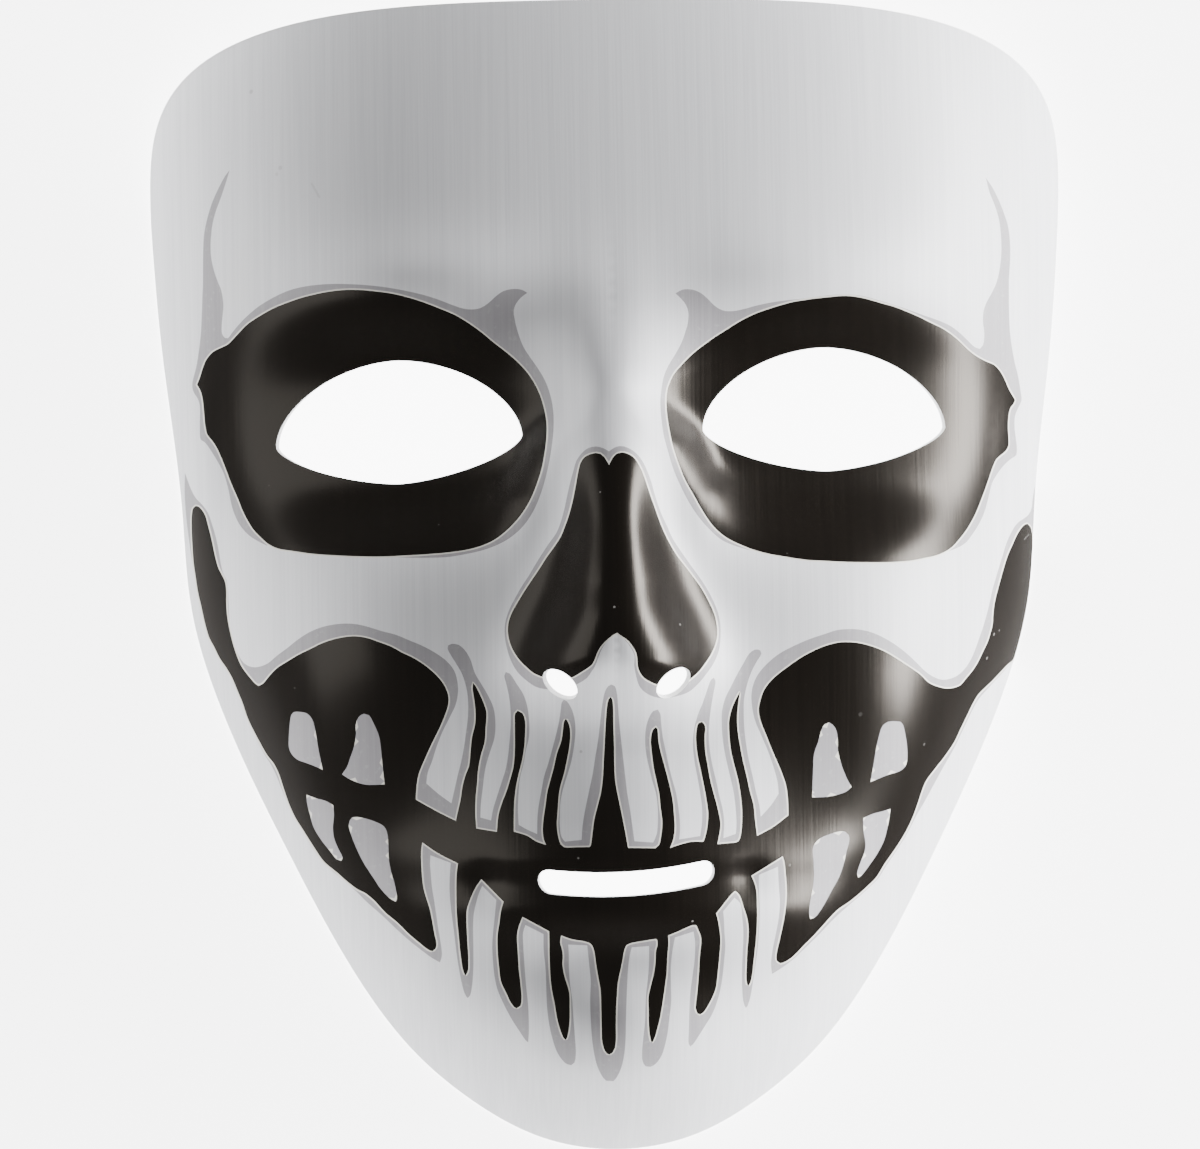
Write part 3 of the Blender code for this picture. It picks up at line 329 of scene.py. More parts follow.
BLACK_JAW = (
    (-82.0, 16.5), (-82.6, 16.1), (-82.9, 14.9), (-83.0, 13.1), (-83.0, 11.0), (-82.9, 8.4),
    (-82.7, 5.3), (-82.3, 2.45), (-81.9, -0.4), (-81.3, -3.0), (-80.7, -5.9), (-80.2, -7.95),
    (-79.6, -9.8), (-78.8, -11.2), (-77.5, -13.8), (-76.1, -15.8), (-74.9, -17.9), (-74.1, -19.9),
    (-73.0, -22.6), (-72.1, -25.5), (-70.95, -28.0), (-69.8, -30.2), (-68.3, -32.9), (-66.9, -34.7),
    (-66.0, -36.5), (-65.1, -39.4), (-64.0, -42.8), (-62.9, -45.3), (-61.1, -48.2), (-59.3, -51.1),
    (-57.5, -53.8), (-56.6, -54.7), (-54.8, -56.1), (-52.5, -58.1), (-50.3, -59.7), (-49.3, -60.1),
    (-47.4, -61.6), (-45.1, -64.1), (-42.8, -66.0), (-40.5, -68.3), (-38.5, -70.0), (-37.0, -71.2),
    (-36.0, -71.6), (-35.4, -71.1), (-35.2, -70.0), (-35.5, -68.5), (-35.9, -66.0), (-36.4, -63.3),
    (-37.1, -61.0), (-37.6, -58.9), (-37.85, -56.0), (-37.9, -52.2), (-37.65, -50.4, 1),
    (-34.8, -52.4), (-30.8, -54.5, 1), (-31.1, -56.7), (-31.2, -60.6), (-31.15, -64.8),
    (-30.85, -68.7), (-30.5, -72.9), (-30.1, -75.4), (-29.65, -76.4), (-29.2, -75.6),
    (-29.05, -72.9), (-29.2, -69.5), (-29.3, -65.6), (-29.2, -63.5), (-28.5, -61.4), (-27.4, -59.1),
    (-26.3, -57.6, 1), (-22.1, -61.95, 1), (-22.65, -63.9), (-22.95, -66.0), (-23.35, -68.5),
    (-23.35, -72.15), (-23.1, -75.2), (-22.8, -77.5), (-21.8, -79.8), (-20.85, -81.8),
    (-19.9, -82.8), (-19.1, -82.3), (-18.85, -81.0), (-19.0, -78.3), (-19.3, -75.2), (-19.5, -71.4),
    (-19.6, -68.7), (-19.3, -67.0), (-18.5, -64.9, 1), (-13.4, -67.75, 1), (-13.4, -70.4),
    (-13.35, -73.9), (-13.2, -77.2), (-12.9, -79.7), (-12.5, -81.8), (-12.05, -84.7),
    (-11.45, -87.05), (-10.75, -88.7), (-10.4, -88.95), (-10.0, -87.9), (-9.65, -85.4),
    (-9.6, -82.6), (-9.65, -79.7), (-10.0, -78.3), (-10.55, -76.5), (-10.9, -74.3), (-10.8, -72.5),
    (-11.0, -71.1), (-11.3, -70.0), (-11.1, -68.6, 1), (-9.1, -69.35), (-6.6, -69.8), (-5.4, -70.3),
    (-5.0, -70.9), (-4.65, -72.3), (-4.35, -74.7), (-3.9, -77.5), (-3.65, -79.0), (-3.55, -81.8),
    (-3.5, -86.5), (-3.4, -89.4), (-3.05, -90.8), (-2.5, -91.7), (-2.0, -91.9), (-1.4, -91.5),
    (-0.95, -90.6), (-0.75, -89.0), (-0.75, -86.9), (-0.7, -84.0), (-0.5, -80.8), (-0.25, -77.9),
    (0.3, -75.4), (0.75, -73.2), (1.1, -71.4), (1.45, -70.65), (2.2, -70.3), (4.5, -69.9),
    (7.15, -69.5, 1), (7.4, -69.8), (7.45, -70.7), (7.15, -71.8), (7.05, -73.9), (6.75, -76.1),
    (6.05, -78.8), (5.6, -80.8), (5.6, -83.3), (5.6, -85.8), (5.75, -87.9), (6.2, -89.7),
    (6.75, -88.7), (7.4, -86.5), (7.9, -84.4), (8.4, -81.5), (8.8, -79.0), (9.2, -76.1),
    (9.35, -73.2), (9.55, -70.4), (9.5, -68.9, 1), (12.05, -67.85), (14.2, -66.95), (14.9, -66.95, 1),
    (15.3, -67.85), (15.8, -69.1), (15.9, -70.4), (15.65, -72.9), (15.45, -76.1), (15.2, -79.0),
    (14.9, -81.5), (14.75, -83.3), (15.1, -84.2), (15.65, -84.4), (16.3, -84.0), (17.25, -82.6),
    (18.15, -80.9), (18.7, -79.5), (19.05, -77.2), (19.35, -74.3), (19.6, -71.4), (19.65, -69.8),
    (19.4, -67.5), (19.05, -65.7), (18.75, -64.8, 1), (21.8, -61.1), (22.5, -60.5), (23.4, -61.4),
    (24.1, -63.5), (24.8, -65.7), (25.1, -67.5), (25.1, -69.6), (24.9, -72.15), (24.8, -75.0),
    (24.7, -77.2), (24.9, -78.8), (25.2, -79.1), (25.6, -78.3), (26.0, -76.1), (26.3, -73.2),
    (26.6, -70.4), (26.8, -66.8), (26.8, -63.2), (26.7, -60.7), (26.4, -59.2), (25.75, -57.65, 1),
    (29.2, -55.6), (31.9, -54.0, 1), (32.2, -54.9), (32.5, -57.6), (32.7, -61.2), (32.4, -64.5),
    (31.8, -67.9), (31.15, -70.8), (30.7, -72.9), (30.7, -74.3), (31.4, -74.85), (32.8, -74.4),
    (34.3, -73.3), (36.2, -71.4), (38.2, -69.5), (40.1, -67.5), (42.0, -65.5), (43.15, -64.5),
    (45.1, -63.3), (47.4, -61.6), (49.3, -60.0), (50.8, -58.6), (52.5, -56.0), (54.8, -52.9),
    (57.0, -49.5), (58.4, -46.6), (59.3, -44.1), (60.2, -41.4), (60.85, -39.9), (62.4, -37.9),
    (64.7, -35.2), (66.9, -32.2), (68.0, -30.0), (69.6, -26.9), (70.7, -24.8), (71.85, -23.05),
    (73.2, -21.8), (75.0, -20.3), (77.2, -18.3), (78.9, -16.8), (79.8, -16.3), (80.8, -15.4),
    (81.5, -13.9), (82.0, -12.6), (82.6, -10.0), (83.0, -7.4), (83.55, -4.3), (84.1, -0.7),
    (84.5, 2.7), (84.7, 5.3), (84.7, 7.4), (84.4, 9.2), (83.9, 10.4), (83.1, 10.95),
    (82.1, 10.6), (81.1, 9.6), (80.2, 8.3), (79.3, 6.6), (78.2, 4.5), (77.2, 1.9),
    (76.3, -0.9), (75.4, -3.8), (75.0, -5.6), (74.8, -7.4), (74.7, -9.25), (74.3, -10.8),
    (73.7, -12.6), (72.6, -14.7), (71.5, -16.8), (70.2, -18.6), (68.9, -20.0), (67.8, -21.2),
    (66.5, -21.7), (65.0, -21.9), (63.2, -21.6), (61.1, -20.8), (59.3, -19.2), (57.0, -17.7),
    (54.3, -16.0), (52.1, -14.75), (49.4, -13.7), (46.7, -13.05), (44.25, -12.9), (41.8, -13.2),
    (39.1, -14.1), (36.4, -15.4), (33.3, -17.4), (30.1, -19.9), (28.5, -21.9), (27.65, -24.2),
    (27.4, -26.0), (27.8, -28.0), (28.8, -30.5), (30.1, -33.8), (31.5, -37.0), (32.6, -40.1),
    (33.0, -42.8), (33.1, -46.1, 1), (30.1, -48.3), (26.9, -49.95, 1), (26.5, -46.4), (26.3, -44.1),
    (25.6, -41.4), (24.95, -38.3), (24.3, -35.6), (23.8, -32.9), (23.4, -30.5), (23.2, -27.5),
    (23.4, -24.85), (23.8, -22.2, 1), (22.9, -23.8), (22.1, -25.7), (21.65, -27.75), (21.65, -30.3),
    (21.95, -33.5), (22.6, -36.4), (23.3, -39.2), (23.75, -42.0), (24.0, -44.9), (23.95, -47.6),
    (23.7, -49.7), (23.2, -50.95), (21.3, -51.25), (19.1, -51.4, 1), (19.5, -49.7), (19.8, -47.6),
    (19.4, -45.1), (18.7, -42.3), (17.9, -39.15), (17.4, -36.2), (17.0, -33.65), (16.9, -30.7),
    (17.0, -28.8), (16.4, -27.9), (15.7, -28.15), (15.3, -29.4), (15.2, -31.5), (15.5, -34.5),
    (16.0, -37.0), (16.6, -40.0), (17.1, -43.0), (17.4, -45.5), (17.2, -48.0), (16.7, -50.15),
    (16.4, -50.9, 1), (13.9, -50.9), (11.8, -51.4), (9.9, -52.0, 1), (10.5, -50.6), (10.9, -48.5),
    (10.8, -45.5), (10.6, -43.0), (10.1, -40.4), (9.5, -37.9), (8.85, -35.35), (8.2, -32.8),
    (7.9, -30.7), (7.8, -29.2), (7.45, -28.8), (6.9, -29.3), (6.5, -31.1), (6.65, -33.65),
    (7.0, -36.6), (7.5, -39.15), (8.0, -41.7), (8.2, -44.2), (8.5, -46.8), (8.3, -49.3),
    (7.8, -51.4), (7.1, -52.0, 1), (1.85, -51.85, 1), (1.45, -49.3), (1.0, -46.8), (0.45, -43.8),
    (-0.05, -41.3), (-0.4, -39.15), (-0.55, -35.8), (-0.55, -32.0), (-0.65, -28.6), (-0.7, -25.6),
    (-0.9, -23.5), (-1.2, -23.0), (-1.65, -23.5), (-1.95, -25.2), (-2.15, -28.15), (-2.35, -31.95),
    (-2.6, -35.8), (-2.8, -38.7), (-3.2, -41.3), (-3.85, -43.8), (-4.5, -46.3), (-4.9, -48.9),
    (-5.3, -51.4), (-5.5, -51.6, 1), (-8.0, -51.6), (-10.4, -51.55), (-11.0, -51.0), (-11.5, -49.3),
    (-11.7, -47.2), (-11.5, -44.65), (-11.25, -41.7), (-10.95, -40.0), (-10.2, -37.5), (-9.6, -34.9),
    (-9.05, -31.95), (-8.9, -29.85), (-9.1, -28.15), (-9.75, -27.0), (-10.1, -27.5), (-10.3, -29.0),
    (-10.6, -31.1), (-11.5, -33.65), (-12.1, -36.2), (-12.7, -38.3), (-13.4, -40.85), (-13.8, -43.4),
    (-14.2, -45.9), (-14.4, -48.5), (-14.2, -50.15), (-13.8, -51.1, 1), (-15.7, -50.4),
    (-17.4, -49.3), (-18.9, -48.8), (-19.95, -48.5, 1), (-19.9, -45.5), (-19.8, -43.0),
    (-19.5, -40.4), (-18.9, -37.5), (-18.2, -34.9), (-17.7, -31.95), (-17.5, -29.0), (-17.5, -27.3),
    (-18.0, -25.8), (-18.9, -25.3), (-19.4, -25.8), (-19.5, -27.7), (-19.5, -30.7), (-19.6, -33.65),
    (-19.9, -36.2), (-20.6, -38.7), (-21.3, -40.85), (-22.25, -43.2), (-22.9, -45.5),
    (-23.2, -48.5, 1), (-24.9, -48.2), (-27.15, -47.8, 1), (-27.3, -45.1), (-27.2, -42.1),
    (-26.9, -39.15), (-26.6, -36.2), (-26.05, -33.65), (-25.3, -31.1), (-25.1, -28.6),
    (-24.9, -25.6), (-25.2, -24.35), (-26.05, -22.2), (-26.9, -20.5), (-27.4, -19.8, 1),
    (-27.5, -21.0), (-27.2, -23.1), (-27.0, -25.6), (-27.1, -27.7), (-27.75, -30.3), (-28.05, -32.8),
    (-28.4, -35.8), (-29.0, -37.25), (-29.7, -39.6), (-30.1, -42.1), (-30.6, -44.2),
    (-31.1, -46.3, 1), (-34.8, -44.4), (-38.8, -42.1, 1), (-38.6, -39.65), (-38.2, -37.4),
    (-37.1, -34.7), (-35.5, -31.35), (-33.9, -28.2), (-32.8, -25.7), (-32.2, -23.7), (-32.2, -22.15),
    (-33.0, -20.1), (-34.4, -18.3), (-36.4, -16.5), (-38.6, -15.0), (-40.9, -13.85), (-43.1, -12.6),
    (-45.4, -11.7), (-47.6, -10.9), (-49.9, -10.5), (-52.1, -10.6), (-54.3, -11.0), (-56.6, -11.7),
    (-58.8, -12.7), (-61.1, -13.7), (-63.3, -14.9), (-65.6, -16.2), (-67.4, -17.9), (-68.5, -19.1),
    (-69.4, -19.5), (-70.05, -19.1), (-70.95, -18.1), (-71.85, -17.0), (-72.9, -15.5),
    (-73.8, -13.4), (-74.6, -10.8), (-75.1, -8.5), (-75.5, -6.2), (-75.7, -3.3), (-75.65, -0.7),
    (-75.9, 1.15), (-76.5, 2.4), (-77.3, 4.0), (-77.8, 5.8), (-78.2, 7.6), (-78.7, 10.0),
    (-79.3, 12.3), (-79.9, 14.4), (-80.7, 15.7), (-81.5, 16.4),
)

# Width of the bare line left round the black
BARE_LINE = 0.00027

black_lines = [
    drawn(rows) for rows in (BLACK_LEFT_SOCKET, BLACK_RIGHT_SOCKET, BLACK_NOSE, BLACK_JAW)
]


# Formed sheet
# One sheet of white rigid vinyl, drawn down hot over a mould after printing: a deep dome with a
# nose, brows, cheekbones, lips and a chin pushed up in it. The main sizes are the solid part's.

MASK_WIDTH = 0.181
MASK_HEIGHT = 0.225
DOME_DEPTH = 0.060
SHEET_THICKNESS = 0.001
NOSE_WIDTH = 0.0270
NOSE_RISE = 0.0215
NOSE_SQUARENESS = 2.4
BROW_RISE = 0.0035
CHEEK_RISE = 0.0040
LIP_RISE = 0.0030
CHIN_RISE = 0.0060
EYE_WIDTH = 0.0480
EYE_HEIGHT = 0.0238
EYE_SPACING = 0.0828
EYE_LEVEL = 0.0316
SOCKET_SINK = 0.0080
SOCKET_REACH_ACROSS = 0.76 * EYE_WIDTH
SOCKET_REACH_UP = 0.90 * EYE_HEIGHT
SOCKET_LEVEL = EYE_LEVEL - 0.10 * EYE_HEIGHT
SOCKET_SQUARENESS = 1.6
NOSTRIL_SPACING = 0.0216
NOSTRIL_LEVEL = -0.0205
MOUTH_WIDTH = 0.0340
MOUTH_LEVEL = -0.0580
HALF_WIDTH = MASK_WIDTH / 2
HALF_HEIGHT = MASK_HEIGHT / 2

# The rim from the chin up, then how the dome would close above the cut top: height as a share of
# HALF_HEIGHT and half width as a share of HALF_WIDTH
RIM_ROWS = (
    (-1.000, 0.000), (-0.975, 0.174), (-0.914, 0.312), (-0.825, 0.442), (-0.692, 0.566),
    (-0.471, 0.714), (-0.206, 0.863), (-0.029, 0.925), (0.148, 0.943), (0.414, 0.981),
    (0.600, 1.000), (0.850, 0.997), (1.060, 0.915), (1.250, 0.745), (1.400, 0.430), (1.460, 0.000),
)
RIM_SAMPLES = 48
DOME_MIDDLE = 0.190
SIDE_ROUNDNESS = 2.6
CHIN_ROUNDNESS = 4.4
FOOT_CUT = 0.9965
# Shares of the way out at which the dome ends flat, and over which the features fade to the rim
FLAT_RIM = 0.999
RIM_FADE = 0.14

# The nose from the brow to the lip: height, width and rise as shares
NOSE_ROWS = (
    (0.480, 0.95, 0.00), (0.360, 0.86, 0.12), (0.230, 0.66, 0.24), (0.100, 0.60, 0.42),
    (-0.010, 0.82, 0.63), (-0.090, 1.00, 0.78), (-0.150, 1.08, 0.74), (-0.205, 1.06, 0.45),
    (-0.255, 1.02, 0.13), (-0.310, 1.00, 0.00),
)

# Mounds and hollows of the face, the nostrils' wings and the lips: place across and up, reach
# across and up, as shares of a unit, and the rise. Each group names its units and its level
MOUNDS = (
    (HALF_WIDTH, HALF_HEIGHT, 0.0, (
        (0.42, 0.50, 0.30, 0.090, BROW_RISE),
        (0.00, 0.46, 0.13, 0.110, 0.70 * BROW_RISE),
        (0.54, -0.06, 0.30, 0.170, 0.80 * CHEEK_RISE),
        (0.42, -0.40, 0.20, 0.170, -0.75 * CHEEK_RISE),
        (0.00, -0.42, 0.26, 0.190, 1.00 * CHEEK_RISE),
        (0.66, -0.27, 0.21, 0.240, 0.60 * CHEEK_RISE),
        (0.00, 0.07, 0.26, 0.27, 0.27 * NOSE_RISE),
        (0.00, -0.81, 0.24, 0.150, CHIN_RISE),
        (0.00, -0.665, 0.22, 0.060, -0.55 * CHIN_RISE),
    )),
    (NOSE_WIDTH, NOSE_WIDTH, NOSTRIL_LEVEL, ((0.45, 0.13, 0.28, 0.27, 0.12 * NOSE_RISE),)),
    (MOUTH_WIDTH, MOUTH_WIDTH, MOUTH_LEVEL, (
        (0.00, 0.14, 0.90, 0.13, 0.70 * LIP_RISE),
        (0.00, -0.17, 0.90, 0.16, 0.77 * LIP_RISE),
        (0.75, 0.00, 0.10, 0.11, -0.25 * LIP_RISE),
    )),
)


def closed_spline(points, count):
    """Sample the smooth closed cubic through the points, spaced by chord length."""
    points = np.array(points, dtype=float)
    size = len(points)
    step = np.linalg.norm(np.roll(points, -1, axis=0) - points, axis=1)
    slope = (np.roll(points, -1, axis=0) - points) / step[:, None]
    matrix = np.zeros((size, size))
    right = np.zeros((size, 2))
    for row in range(size):
        matrix[row, row - 1] += step[row]
        matrix[row, row] += 2 * (step[row - 1] + step[row])
        matrix[row, (row + 1) % size] += step[row - 1]
        right[row] = 3 * (step[row] * slope[row - 1] + step[row - 1] * slope[row])
    tangent = np.linalg.solve(matrix, right)
    share = np.linspace(0, 1, count, endpoint=False)[:, None]
    pieces = []
    for row in range(size):
        after = (row + 1) % size
        leaving, arriving = tangent[row] * step[row], tangent[after] * step[row]
        pieces.append(cubic(share, points[row], leaving, points[after], arriving))
    return np.concatenate(pieces)


right_side = [(wide * HALF_WIDTH, high * HALF_HEIGHT) for high, wide in RIM_ROWS]
left_side = [(-x, y) for x, y in reversed(right_side[1:-1])]
dome_foot = closed_spline(right_side + left_side, RIM_SAMPLES)
middle = np.array((0.0, DOME_MIDDLE * HALF_HEIGHT))
foot_spokes = dome_foot - middle
foot_angles = np.arctan2(foot_spokes[:, 1], foot_spokes[:, 0])
foot_order = np.argsort(foot_angles)
foot_reach = np.hypot(foot_spokes[:, 0], foot_spokes[:, 1])


def smooth_step(value):
    """Rise from 0 to 1 with level ends."""
    value = np.clip(value, 0, 1)
    return value * value * (3 - 2 * value)


def hermite(at, knots, values):
    """Smooth curve through the rows of a table, level beyond its ends."""
    slope = np.gradient(values, knots)
    slope[0] = slope[-1] = 0
    place = np.clip(np.searchsorted(knots, at) - 1, 0, len(knots) - 2)
    step = knots[place + 1] - knots[place]
    share = np.clip((at - knots[place]) / step, 0, 1)
    leaving, arriving = slope[place] * step, slope[place + 1] * step
    return cubic(share, values[place], leaving, values[place + 1], arriving)


# The crease where each side of the nose runs out into the eye socket, millimetres on plan
SOCKET_CREASE = (
    (9.0, 80.0), (9.0, 50.0), (8.8, 40.0), (9.4, 36.4), (11.0, 34.2), (14.0, 31.8), (17.0, 28.8),
    (18.9, 25.0), (20.4, 21.0), (22.2, 17.0), (23.3, 12.0), (23.7, 6.0), (23.6, -30.0),
)
CREASE_SAMPLES = 110
# Radius of the crease at its sharpest, then what is added to it below and above the eye: the
# level where that starts, the run over which it grows, and the measure
CREASE_SOFTNESS = 0.0009
CREASE_SOFTENING = ((0.024, -0.020, 0.0026), (0.033, 0.010, 0.0040))
SOCKET_WALL_SLOPE = 1.15
WALL_TOP_SOFTNESS = 0.03


def socket_wall(x, y):
    """Share of a socket's depth left on the nose's side, where its wall climbs from the crease."""
    line_x, line_y = (np.array(column)[::-1] / 1000 for column in zip(*SOCKET_CREASE))
    fine_y = np.linspace(line_y[0], line_y[-1], CREASE_SAMPLES)
    line = np.column_stack((hermite(fine_y, line_y, line_x), fine_y))
    across = np.abs(x)
    away = np.full(x.shape, np.inf)
    for (from_x, from_y), (to_x, to_y) in zip(line[:-1], line[1:]):
        step_x, step_y = to_x - from_x, to_y - from_y
        share = ((across - from_x) * step_x + (y - from_y) * step_y) / (step_x**2 + step_y**2)
        share = np.clip(share, 0, 1)
        gap = np.hypot(across - from_x - share * step_x, y - from_y - share * step_y)
        away = np.minimum(away, gap)
    nose_side = across < np.interp(y, line[:, 1], line[:, 0])
    away = np.where(nose_side, away, -away)
    soft = CREASE_SOFTNESS
    for level, run, more in CREASE_SOFTENING:
        soft = soft + more * smooth_step((y - level) / run)
    left = 1 - SOCKET_WALL_SLOPE / SOCKET_SINK * soft * np.logaddexp(0, away / soft)
    return 0.5 * (left + np.sqrt(left**2 + WALL_TOP_SOFTNESS))


def features(x, y):
    """Height of the face's features over the plain dome."""
    up = y / HALF_HEIGHT
    level, width, rise = (np.array(column)[::-1] for column in zip(*NOSE_ROWS))
    half = hermite(up, level, width) * NOSE_WIDTH / 2
    nose = hermite(up, level, rise) * NOSE_RISE * np.exp(-np.abs(x / half) ** NOSE_SQUARENESS)
    wide = (np.abs(x) - EYE_SPACING / 2) / SOCKET_REACH_ACROSS
    high = (y - SOCKET_LEVEL) / SOCKET_REACH_UP
    socket = SOCKET_SINK * np.exp(-((wide**2 + high**2) ** SOCKET_SQUARENESS)) * socket_wall(x, y)
    total = nose - socket
    for unit_across, unit_up, level, rows in MOUNDS:
        across, up = np.abs(x) / unit_across, (y - level) / unit_up
        for place_across, place_up, reach_across, reach_up, mound in rows:
            wide = (across - place_across) / reach_across
            high = (up - place_up) / reach_up
            total += mound * np.exp(-(wide**2) - high**2)
    return total


def height(x, y):
    """Height of the outer skin."""
    away = np.hypot(x, y - middle[1])
    angle = np.arctan2(y - middle[1], x)
    out = away / np.interp(angle, foot_angles[foot_order], foot_reach[foot_order], period=2 * np.pi)
    power = SIDE_ROUNDNESS + (CHIN_ROUNDNESS - SIDE_ROUNDNESS) * np.clip(-np.sin(angle), 0, 1) ** 2
    foot = np.sqrt(1 - FOOT_CUT**power)
    arch = np.sqrt(np.clip(1 - (np.clip(out, 0, 1) * FOOT_CUT) ** power, 0, 1))
    dome = np.where(out > FLAT_RIM, 0, DOME_DEPTH * (arch - foot) / (1 - foot))
    return dome + smooth_step((1 - out) / RIM_FADE) * features(x, y)


# Trimmed edge and cut openings
# The formed sheet is die cut: all round at the rim, with the top corners cut round, and through
# for the eyes, the nostrils and the mouth. The cutter sits about one degree crooked.

NOSTRIL_LENGTH = 0.0076
NOSTRIL_WIDTH = 0.0044
NOSTRIL_TURN = 38.0
MOUTH_HEIGHT = 0.0047
MOUTH_SMILE = 0.0016
MOUTH_TURN = 1.5
CORNER_START = 0.660
CORNER_SQUARENESS = 3.55
EYE_CORNER_SHARE = -0.30
EYE_UPPER_POWER = 1.80
EYE_LOWER_POWER = 1.55
CUT_TURN = 1.0
# Points that the curves are worked out at, before they are spaced evenly
CORNER_POINTS = 90
EYE_POINTS = 240
NOSTRIL_POINTS = 120
MOUTH_END_POINTS = 24
MOUTH_SIDE_POINTS = 40
RIM_SPACING = 0.0013
OPENING_SPACING = 0.0007


def even_loop(points, spacing):
    """Space the points of a closed loop evenly, keeping its first one."""
    closed = np.concatenate((points, points[:1]))
    along = np.concatenate(((0,), np.cumsum(np.linalg.norm(np.diff(closed, axis=0), axis=1))))
    at = np.linspace(0, along[-1], 2 * round(along[-1] / spacing / 2), endpoint=False)
    return np.column_stack([np.interp(at, along, column) for column in closed.T])


def turned(points, degrees, about):
    """Turn points about the origin and move them to a place."""
    angle = np.radians(degrees)
    matrix = np.array(((np.cos(angle), np.sin(angle)), (-np.sin(angle), np.cos(angle))))
    return points @ matrix + about


def rim_line():
    """The mask's own edge in plan."""
    start = CORNER_START * HALF_HEIGHT
    half = dome_foot[dome_foot[:, 0] >= 0]
    wide = np.interp(start, half[:, 1], half[:, 0])
    turn = np.linspace(0, np.pi / 2, CORNER_POINTS)
    corner_x = wide * np.cos(turn) ** (2 / CORNER_SQUARENESS)
    corner_y = start + (HALF_HEIGHT - start) * np.sin(turn) ** (2 / CORNER_SQUARENESS)
    corner = np.column_stack((corner_x, corner_y))
    corner[-1] = (0, HALF_HEIGHT)
    right_half = np.concatenate((half[half[:, 1] < start], corner))
    return np.concatenate((right_half, right_half[1:-1][::-1] * (-1, 1)))


def eye_line(side):
    """The edge of one eye opening: two superellipse arches on one corner line."""
    turn = np.linspace(0, 2 * np.pi, EYE_POINTS, endpoint=False)
    power = np.where(np.sin(turn) >= 0, EYE_UPPER_POWER, EYE_LOWER_POWER)
    tall = np.where(np.sin(turn) >= 0, 1 - EYE_CORNER_SHARE, 1 + EYE_CORNER_SHARE)
    x = EYE_WIDTH / 2 * np.sign(np.cos(turn)) * np.abs(np.cos(turn)) ** (2 / power)
    y = np.sign(np.sin(turn)) * tall * np.abs(np.sin(turn)) ** (2 / power) + EYE_CORNER_SHARE
    points = np.column_stack((x + side * EYE_SPACING / 2, y * EYE_HEIGHT / 2))
    return turned(points, CUT_TURN, (0, EYE_LEVEL))


def nostril_line(side):
    """The edge of one nostril: an ellipse leaning out at the top."""
    turn = np.linspace(0, 2 * np.pi, NOSTRIL_POINTS, endpoint=False)
    points = np.column_stack((NOSTRIL_LENGTH / 2 * np.cos(turn), NOSTRIL_WIDTH / 2 * np.sin(turn)))
    return turned(points, side * NOSTRIL_TURN, (side * NOSTRIL_SPACING / 2, NOSTRIL_LEVEL))


def mouth_line():
    """The edge of the mouth: a slot with round ends, bent to a slight smile."""
    radius = MOUTH_HEIGHT / 2
    straight = MOUTH_WIDTH / 2 - radius
    turn = np.linspace(-np.pi / 2, np.pi / 2, MOUTH_END_POINTS)
    run = np.linspace(straight, -straight, MOUTH_SIDE_POINTS)[1:-1]
    right_end = np.column_stack((straight + radius * np.cos(turn), radius * np.sin(turn)))
    upper = np.column_stack((run, np.full_like(run, radius)))
    points = np.concatenate((right_end, upper, -right_end, -upper))
    points[:, 1] += MOUTH_SMILE * ((points[:, 0] / (MOUTH_WIDTH / 2)) ** 2 - 0.5)
    below_eyes = turned(points, MOUTH_TURN, (0, MOUTH_LEVEL - EYE_LEVEL))
    return turned(below_eyes, CUT_TURN, (0, EYE_LEVEL))


rim = even_loop(rim_line(), RIM_SPACING)
openings = [eye_line(-1), eye_line(1), nostril_line(-1), nostril_line(1), mouth_line()]
openings = [even_loop(line, OPENING_SPACING) for line in openings]


# The finished shell
# The printed, formed and cut sheet as one thin body: a printed outer skin, a bare inner skin a
# sheet's thickness below it, and the cut edges between them. It stands for the solid shell.

SKIN_SPACING = 0.0016
NOSE_SPACING = 0.0011
# The part of the skin with the finer grid: half width, and its foot and top as shares
NOSE_PATCH_HALF = 1.05 * NOSE_WIDTH
NOSE_PATCH_FOOT = -0.30
NOSE_PATCH_TOP = 0.40
# Rings of points down the steep side by the rim, and how far inside the last the grid starts
WALL_SHARES = (0.9965, 0.992, 0.986, 0.979, 0.971, 0.962, 0.952, 0.941, 0.929)
GRID_INSET = 0.006
LINE_CLEARANCE = 0.4 * NOSE_SPACING
MARK_SPACING = 0.0001
MERGE_DISTANCE = 1e-8
POINTS_AT_ONCE = 4000
NORMAL_STEP = 0.1 * SHEET_THICKNESS
NORMAL_INSET = 0.997

# What lies on each face, in the order of the materials
SHEET, GREY, BLACK, BARE, BACK, CUT = range(6)


def inside(points, loop):
    """Which points a closed loop encloses."""
    found = np.zeros(len(points), dtype=bool)
    ahead = np.roll(loop, -1, axis=0)
    rise = ahead[:, 1] - loop[:, 1]
    rise = np.where(rise == 0, 1e-12, rise)
    lean = (ahead[:, 0] - loop[:, 0]) / rise
    for first in range(0, len(points), POINTS_AT_ONCE):
        part = slice(first, first + POINTS_AT_ONCE)
        x, y = points[part, 0, None], points[part, 1, None]
        spans = (loop[:, 1] > y) != (ahead[:, 1] > y)
        crossing = loop[:, 0] + (y - loop[:, 1]) * lean
        found[part] = np.count_nonzero(spans & (x < crossing), axis=1) % 2 == 1
    return found


def inside_any(points, loops):
    """Which points at least one of some closed loops encloses."""
    return np.any([inside(points, loop) for loop in loops], axis=0)


